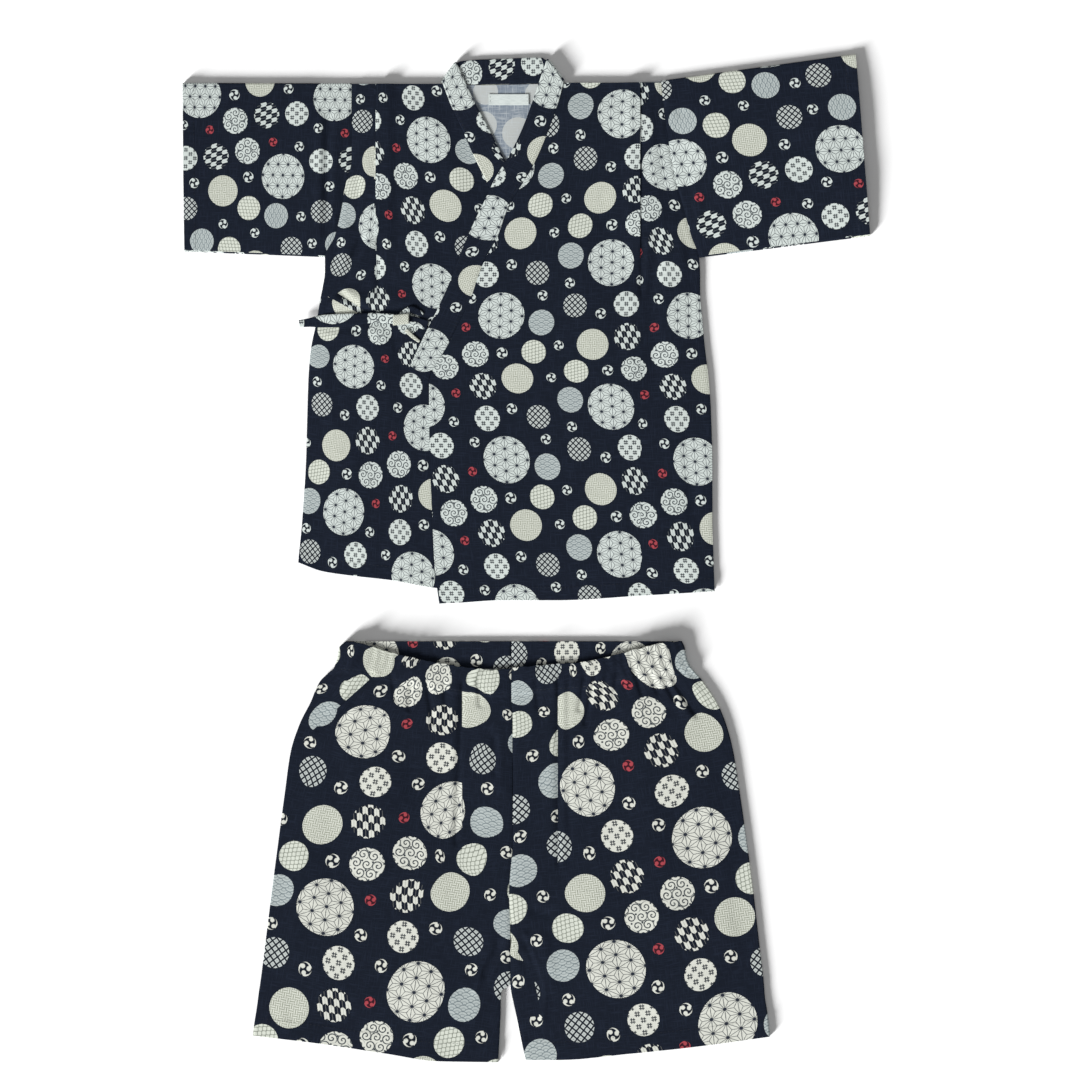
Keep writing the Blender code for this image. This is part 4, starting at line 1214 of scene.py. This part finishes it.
PRINT_SCALE = 1.28
# The shorts' cream is their cloth's own, set brighter and warmer than the jacket's as painted
# light, where the lamp falls warm from the lower left.
SHORTS_CREAM = "#e2e4da"
LEG_PUFF = 2.4
WAIST_ROW, HEM_ROW = -75, -442
CASING = 25
FACING_LOW = WAIST_ROW - CASING - 0.3  # height down to which the waist's cloth is turned in
LEG_HEM = 17.5
GATHER_LENGTH = 62
DROP_REACH = 110  # how far below the waist its hanging edge bends the rows
HIP_ROWS = (-158, -92)  # heights between which the grid is closer, for the folds at the hip
BACK_COLUMNS = 60
INSEAM = (330, 390)  # depths between which the legs part
HEM_BEND = 395  # depth from which the rows bend to the hem
CASING_HANG = 0.86  # share of the waist's hang that reaches the casing's stitches
RIGHT_LEG = [  # height, inner edge, outer fold
    (-75, -14, -163), (-80, -14, -169), (-90, -14, -171), (-99, -14, -174), (-101, -14, -176),
    (-112, -14, -187), (-130, -13, -195), (-150, -13, -205), (-175, -13, -213), (-210, -13, -218),
    (-255, -13, -224), (-301, -16, -230), (-345, -15, -235.5), (-384, -15, -240.5),
    (-390, -23, -241.5), (-412, -24, -244), (-442, -26, -247),
]
LEFT_LEG = [
    (-75, -14, 139.5), (-80, -14, 142), (-90, -14, 144), (-99, -14, 148), (-101, -14, 150),
    (-112, -14, 159), (-130, -13, 171), (-150, -13, 179.5), (-175, -13, 186), (-210, -13, 191.5),
    (-255, -13, 198), (-301, -16, 204), (-345, -15, 209), (-384, -15, 213.5), (-392, -14, 214),
    (-412, -9, 216.5), (-442, -1, 219),
]
RIGHT_LEG_HEM = [(-247, -430), (-196, -436), (-128, -446), (-79, -453), (-26, -454)]
LEFT_LEG_HEM = [(0, -452), (25, -452), (95, -446), (160, -439), (219, -431)]
WAIST_DROP = [  # across the waist, how far the front's top edge hangs below the back's
    (-163, 0), (-148, 2), (-130, 8), (-96, 16), (-48, 24), (-32, 25.5), (-9, 23.5), (22, 20.5),
    (45, 19), (79, 12), (107, 5), (121, 1), (140, 0),
]
RIGHT_CUT = [(-442, -247), (-230, -221), (-150, -212), (-75, -206)]  # height, side of the cut
LEFT_CUT = [(-442, 219), (-230, 195), (-150, 187), (-75, 181)]
RIGHT_LEG_FOLDS = [
    (-139, -104, -163, -132, 3, -3.4), (-163, -132, -191, -155, 3, -2.8),
    (-132, -106, -160, -140, 5, 1.6), (-150, -104, -176, -138, 6, 1.4),
    (-58, -112, -64, -258, 2.4, -1.7), (-65, -112, -70, -250, 5, 0.8),
    (-29, -160, -29, -197, 2.6, -1.8), (-25, -150, -24, -210, 5, 0.9),
    (-24, -346, -35, -369, 3, -2.2), (-35, -369, -40, -376, 3, -2.0),
    (-30, -340, -44, -372, 6, 1.0), (-20, -392, -34, -425, 3, -1.8),
    (-120, -130, -140, -330, 14, 1.0), (-200, -240, -215, -380, 16, 0.8),
    (-80, -250, -96, -420, 15, 0.8), (-170, -180, -176, -300, 10, -0.7),
    (-100, -180, -104, -300, 9, -0.6), (-14, -342, -26, -366, 2.6, 1.6),
    (-26, -366, -34, -380, 2.6, 1.4), (-40, -372, -47, -392, 3, 1.3),
    (-30, -400, -60, -440, 8, 0.8), (-90, -112, -84, -150, 2.6, -1.8),
    (-104, -112, -106, -138, 2.4, -1.6), (-74, -112, -73, -136, 2.4, -1.7),
    (-44, -108, -42, -134, 2.2, -1.6), (-122, -104, -118, -128, 2.4, -1.5),
]
LEFT_LEG_FOLDS = [
    (125, -114, 134, -128, 3, -2.6), (134, -112, 155, -142, 3, -3.0),
    (126, -110, 148, -146, 5, 1.6), (28, -110, 28, -278, 2.4, -1.3),
    (37, -110, 38, -278, 2.4, -0.6), (32.5, -110, 33, -280, 3, 0.3), (20, -110, 20, -250, 5, 0.6),
    (24, -108, 25, -130, 3, 1.2), (-7, -356, 3, -375, 3, -2.2), (3, -375, 6, -386, 3, -1.8),
    (-2, -342, 9, -372, 3.5, -2.0), (9, -372, 13, -391, 3.5, -2.0), (13, -391, 7, -409, 3, -1.8),
    (7, -409, 12, -428, 3, -1.4), (2, -316, 22, -322, 4, -1.6), (14, -340, 24, -392, 6, 1.2),
    (95, -130, 125, -330, 14, 1.0), (170, -220, 184, -380, 14, 0.8),
    (-3, -336, 13, -374, 2.6, 1.6), (13, -374, 17, -398, 2.6, 1.5), (17, -398, 13, -420, 3, 1.2),
    (60, -260, 66, -420, 15, 0.8), (140, -190, 150, -320, 10, -0.7),
    (52, -106, 47, -138, 2.4, -1.9), (62, -104, 52, -150, 2.2, -1.8),
    (82, -100, 78, -126, 2.4, -1.6), (96, -100, 104, -124, 2.4, -1.7),
    (108, -96, 118, -122, 2.4, -1.6), (8, -108, 10, -136, 2.4, -1.5),
    (72, -104, 66, -132, 2.4, -1.4),
]

shorts_print = printed_cotton("shorts_slub_cotton", PRINT_SCALE, SHORTS_CREAM)
shorts_wrong_side = printed_cotton("shorts_wrong_side", PRINT_SCALE, SHORTS_CREAM,
                                   wrong_side=True)


def gathers(share, y, seed):
    """Gathers that the elastic draws up: narrow ridges of uneven width, height and length."""
    draw = np.random.default_rng(seed)
    total = np.zeros(np.broadcast(share, y).shape)
    place = 0.02
    while place < 0.93:
        width = draw.uniform(0.035, 0.085)
        middle = place + width / 2
        rise, length = draw.uniform(0.9, 2.4), GATHER_LENGTH * draw.uniform(0.4, 1.1)
        lean = draw.uniform(-0.04, 0.04)
        depth = np.clip(WAIST_ROW - 12 - y, 0, None)
        off = (share - middle - lean * depth / GATHER_LENGTH) / width
        spread_out = 1 + 0.7 * depth / length
        fade = 1 - ease(depth, 0.15 * length, length)
        total += rise * fade * np.exp(-((2.3 * off / spread_out) ** 2))
        place += width
    return total


def leg_under(x, y, table, fold_table, seed):
    """Underside of a leg's front, over its back: the casing, the gathers and the soft middle."""
    inner, outer = curve(table, y, 1), curve(table, y, 2)
    share = np.clip((x - inner) / (outer - inner), 0, 1)
    closed = ease(-y, *INSEAM)
    centre = 1 - closed * (1 - ease(share, 0, 0.25))
    sides = (1 - ease(share, 0.72, 1)) * centre
    ends = ease(-y, -WAIST_ROW, -WAIST_ROW + 60) * 0.7 + 0.3
    hem_line = 0.35 + 0.65 * ease(y, HEM_ROW, HEM_ROW + 70)
    puff = LEG_PUFF * sides * ends * hem_line
    uneven = ripple(x, y, seed, 70, 0.5) + ripple(x, y, seed + 3, 24, 0.18)
    puff = puff + (folds(fold_table, x, y) + uneven) * ease(sides, 0, 0.4)
    drawn = gathers(share, y, seed + 1) * (1 - ease(share, 0.93, 1))
    return GAP + np.clip(puff, 0, None) + drawn


def leg(name, table, cut, pleat, fold_table, hem_table, printing, facing, seed):
    """A leg's sheet: in along its back, round the outer fold, and back along its front."""
    heights = np.unique(np.concatenate([
        spread(WAIST_ROW, HEM_ROW), np.arange(*HIP_ROWS, STEP),
        WAIST_ROW - CASING + np.array([-1.2, -0.6, 0, 0.6]),
        HEM_ROW + LEG_HEM + np.array([-0.9, 0, 0.9])]))[::-1]
    level = heights[:, None]
    outwards = np.sign(table[0][2])
    inner, outer = curve(table, level, 1), curve(table, level, 2)
    in_casing = ease(level, WAIST_ROW - CASING - 5, WAIST_ROW - CASING + 1)
    room = CLOTH + (BAND - CLOTH) * in_casing
    thick = THIN + (BAND - GAP - THIN) * in_casing
    outer_radius = room + GAP / 2
    centre = outer - outwards * outer_radius
    ahead = np.concatenate([spread(centre[:, 0], pleat + 0.1 * outwards, 1.8),
                            spread(pleat - 0.1 * outwards, inner[:, 0], 1.8)], axis=-1)
    behind = np.linspace(0, 1, BACK_COLUMNS)[None]
    turn = np.radians([-72, -48, -24, 0, 24, 48, 72])[None]
    first, front_from = behind.size, behind.size + turn.size
    grids, maps = [], []
    for inside in (0, 1):
        radius, low, rise = outer_radius - inside * thick, inside * thick, (1 - inside) * thick
        x = np.concatenate([
            inner + (centre - inner) * behind, centre + outwards * radius * np.cos(turn),
            ahead,
        ], axis=1)
        is_front = np.concatenate([
            np.zeros(first), 0.5 + 0.5 * np.sin(turn[0]), np.ones(ahead.shape[1])])[None]
        drop = curve(WAIST_DROP, x) + ripple(x, 0, seed + 2, 8, 0.6)
        drop = drop * (1 - ease(WAIST_ROW - level, 0, DROP_REACH))
        y = level - drop * is_front
        y = y + (curve(hem_table, x) - HEM_ROW) * ease(-level, HEM_BEND, -HEM_ROW)
        z = low + 0 * x
        z[:, first:front_from] = outer_radius + radius * np.sin(turn)
        front_x, front_y = x[:, front_from:], y[:, front_from:]
        puff = leg_under(front_x, front_y, table, fold_table, seed)
        depth = front_y - curve(hem_table, front_x)
        puff = puff + hem(depth, front_x, LEG_HEM, seed)
        puff = puff + soft_line(WAIST_ROW - CASING - level, -0.5, 1)
        puff = puff + soft_line(front_x - inner, -0.7, SEAM_WIDTH)
        z[:, front_from:] = 2 * room - thick + rise + puff
        grids.append(np.stack([x, y, z], axis=-1))
        share = (x - inner) / (outer - inner)
        cut_x = inner + share * (curve(cut, level) - inner)
        unrolled = np.where(is_front < 0.5, 2 * curve(cut, level) - cut_x, cut_x)
        map_here = printing(unrolled, y + drop * is_front * 0.5, x, y)
        if inside:
            in_facing = (level > FACING_LOW) & (is_front < 0.5)
            map_here = np.where(in_facing[..., None], print_at(x, y, *facing), map_here)
        maps.append(map_here)
    return cloth(name, *grids, maps, (shorts_print, shorts_wrong_side),
                 turned_in=heights > FACING_LOW)


RIGHT_PLEAT, LEFT_PLEAT = -58.5, 27.8
RIGHT_PLEAT_END, LEFT_PLEAT_END = (-286, -256), (-302, -272)  # heights where each one closes
RIGHT_PLEAT_HIDES = [  # height, width of the hidden cloth
    (-356, 0), (-331, 3), (-306, 6), (-281, 10), (-256, 11), (-200, 13), (-150, 16), (-90, 18),
]
LEFT_PLEAT_HIDES = [
    (-356, 0), (-331, 3), (-306, 6), (-281, 9), (-256, 10), (-205, 12), (-155, 20), (-90, 26),
]
RIGHT_LEG_LEAN = [  # height, how far the print lies to the side there
    (-407, 4.6), (-356, 4.5), (-306, 2.5), (-281, 4.5), (-256, 5.5), (-230, 7.5), (-205, 8.3),
    (-180, 7.5), (-155, 3.4), (-110, 2),
]
LEFT_PLEAT_LEAN = [(-300, 0), (-281, 1.7), (-230, 3.8), (-180, 4.5), (-135, 9.5), (-90, 12)]
SLANTED_FOLD = [(-139, -107, -189.5, -152), (-130, -70, -130, -160)]
BUNCHED = [  # the edge of the cloth that bunches beside the fork
    (-7.8, -355.8, 5.7, -376.8), (5.7, -376.8, 10.2, -397.8), (10.2, -397.8, 11.7, -426.3),
    (30, -413, -40, -413),
]
BUNCHED_SHIFT = (-19, -2)
RIGHT_LEG_UP, RIGHT_LEG_TILT, RIGHT_LEG_TILT_X = 0.6, 0.036, -126
LEFT_LEG_ASIDE, LEFT_LEG_UP = 0.4, 0.9
LEFT_LEAN_ENDS = (35, 72)  # from the left pleat outwards, where its lean dies out
SLACK_REACH, SLACK_BLUR = 48.0, 40
RIGHT_LEG_REPEAT = ((-24.5, -290.5), (210.4, -40.3), (-28.8, -162.0))
LEFT_LEG_REPEAT = ((226.7, -296.4), (216.0, 29.2), (23.4, -165.9))
RIGHT_FACING_REPEAT = ((1.6, -39.6), (197.4, 0), (0, -155.4))  # of the cloth turned in behind
LEFT_FACING_REPEAT = ((-27.5, -148.1), (170.2, 0), (0, -155.4))  # the waist, on each half
RIGHT_OVER_FOLD = [  # x, y, and the print's shift there, across and up, in its own millimetres
    (-182, -142, -4.5, 2.5), (-152, -118, -13.5, 7), (-134, -93, 1.5, 10), (-177, -105, -8, 6),
]
RIGHT_LEG_SLACK = [
    (-22, -278, 5.4, -2.5), (-47, -271, 8.8, 2.2), (-47, -262, 8.8, 2.2), (-23, -302, 3.2, -2),
    (-48, -326, 1.3, -2), (-25, -325, 2.4, -2.9), (-26, -347, 0.9, -4.3), (-49, -350, -0.4, -2.4),
    (-67, -300, 1.5, -0.5), (-58, -298, 1.5, -0.5), (-60, -310, 1.5, -0.5), (-76, -300, 1, -0.5),
    (-147, -155, -1, 1.5), (-134, -93, 1.5, 10), (-131, -120, -2, 5), (-107, -122, 1, 2.5),
    (-80, -108, 12.5, -1.5), (-108, -149, 1, 1.5), (-77, -145, 1.5, 0), (-212, -165, -0.5, -2),
    (-212, -186, -1, -2.5), (-94, -168, -1.5, 1.5), (-71, -167, -1.5, 0.5), (-192, -224, 2, 0),
    (-192, -269, 1.5, -0.5), (-94, -283, -2, -0.5), (-213, -304, 0, -2), (-213, -326, 0.5, -2),
    (-120, -426, -0.5, 2), (-155, -426, -0.5, 2), (-190, -425, 0, 1.5), (-143, -403, -0.5, 2.5),
]
RIGHT_MIDDLE_SLACK = [
    (-47, -136, -2.5, -8.5), (-36, -108, 8.5, -10), (-59, -106, 16, -6), (-52, -160, 1.5, -5.5),
    (-33, -185, 6, -2.5), (-31, -209, 4.5, -2), (-26, -234, 0, -1.5), (-22, -254, -2, -4),
    (-22, -278, -2.5, -4), (-51, -284, 1, 1),
]
LEFT_MIDDLE_SLACK = [
    (18, -101, -1, -1.5), (15, -138, -6, -5.5), (5, -178, -3.5, -2), (-7, -149, -9, -4.5),
    (13, -187, -3.5, -1), (12, -210, -3.5, -1), (22, -192, -2, -4), (5, -281, 2, -2),
]
LEFT_LEG_SLACK = [
    (5, -281, -3.7, -1.2), (4, -304, -1.8, -1.4), (5, -326, -0.8, -2.1), (7, -351, 0, -1.9),
    (-10, -352, -3.6, -1.9), (42, -100, -16, -3), (60, -94, -16, 5), (63, -86, 9.5, 3),
    (114, -97, -6.5, 7.5), (145, -98, 2, 7.5), (90, -114, -9, 4.5), (68, -122, -11.5, 0),
    (108, -139, -3.5, 2), (76, -159, 0, 1.5), (138, -130, -7, 1), (161, -122, -2, -0.5),
    (159, -157, -1.5, -0.5), (121, -172, 1, -0.5), (91, -187, 1.5, 0.5), (39, -136, -6.5, -2),
    (47, -165, 4, 1), (51, -191, 4, 1), (75, -205, 2.5, 1), (100, -213, 1.5, 1),
    (172, -186, -0.5, -2), (173, -208, -1, -2.5), (196, -208, -1, -3), (194, -374, 0, -1.5),
    (33, -285, -0.5, 2), (56, -285, -0.5, 2), (90, -252, 0.5, 1.5), (32, -373, 0, -2.5),
    (33, -398, -1, -2), (125, -425, 0.5, 1.5),
]


def slack(table, x, y):
    """How far the rumpled cloth's print lies from its even lay, by the table's nearest rows."""
    total, weights = np.zeros((*np.broadcast(x, y).shape, 2)), SLACK_REACH**-4
    for at_x, at_y, across, up in table:
        near = ((x - at_x) ** 2 + (y - at_y) ** 2 + SLACK_BLUR) ** -2.0
        total += near[..., None] * (across, up)
        weights = weights + near
    return total / weights[..., None]


def right_leg_print(x, y, shown_x, shown_y):
    """The right leg's print, which a slanted fold at the hip and a pleat hide strips of."""
    middle = (shown_x > RIGHT_PLEAT) * ease(shown_y, *RIGHT_PLEAT_END)
    beside = (slack(RIGHT_MIDDLE_SLACK, shown_x, shown_y) * middle[..., None]
              + slack(RIGHT_LEG_SLACK, shown_x, shown_y) * (1 - middle[..., None]))
    x, y = (x - curve(RIGHT_LEG_LEAN, y),
            y + RIGHT_LEG_UP - RIGHT_LEG_TILT * (x - RIGHT_LEG_TILT_X))
    hidden = curve(RIGHT_PLEAT_HIDES, y) * middle
    return print_at(x + hidden, y, *RIGHT_LEG_REPEAT) + beside


def left_leg_print(x, y, shown_x, shown_y):
    """The left leg's print, which a pleat near the middle hides a strip of."""
    middle = (shown_x < LEFT_PLEAT) * ease(shown_y, *LEFT_PLEAT_END)
    slacks = (slack(LEFT_MIDDLE_SLACK, shown_x, shown_y) * middle[..., None]
              + slack(LEFT_LEG_SLACK, shown_x, shown_y) * (1 - middle[..., None]))
    hidden = curve(LEFT_PLEAT_HIDES, y) * middle
    beside = curve(LEFT_PLEAT_LEAN, y) * (1 - middle) * (1 - ease(x, *LEFT_LEAN_ENDS))
    x, y = x - hidden - beside + LEFT_LEG_ASIDE, y + LEFT_LEG_UP
    return slacks + print_at(x, y, *LEFT_LEG_REPEAT)


def over_fold_shift(x, y):
    """How far the print jumps at the slanted fold: to its lay on the fold from that beside it."""
    place = np.array([x]), np.array([y])
    return (slack(RIGHT_OVER_FOLD, *place) - slack(RIGHT_LEG_SLACK, *place))[0]


right_leg = leg("right_leg_panel", RIGHT_LEG, RIGHT_CUT, RIGHT_PLEAT, RIGHT_LEG_FOLDS,
                RIGHT_LEG_HEM, right_leg_print, RIGHT_FACING_REPEAT, 71)
left_leg = leg("left_leg_panel", LEFT_LEG, LEFT_CUT, LEFT_PLEAT, LEFT_LEG_FOLDS,
               LEFT_LEG_HEM, left_leg_print, LEFT_FACING_REPEAT, 81)
shift_print(right_leg, SLANTED_FOLD, over_fold_shift)
shift_print(left_leg, BUNCHED, lambda x, y: BUNCHED_SHIFT)
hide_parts("right_leg")
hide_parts("left_leg")
for panel, width, hem_table, waist, side in (
    (right_leg, 0.44, RIGHT_LEG_HEM, (-169, -17), "right"),
    (left_leg, 0.41, LEFT_LEG_HEM, (-11, 143), "left"),
):
    hem_x = np.linspace(hem_table[0][0] + 4, hem_table[-1][0] - 2, 90)
    waist_x = np.linspace(*waist, 90)
    casing_y = WAIST_ROW - CASING - curve(WAIST_DROP, waist_x) * CASING_HANG
    row = stitching(side + "_leg_stitches", panel,
                    np.stack([hem_x, curve(hem_table, hem_x) + LEG_HEM - STITCH_INSET], axis=-1),
                    np.stack([waist_x, casing_y], axis=-1))
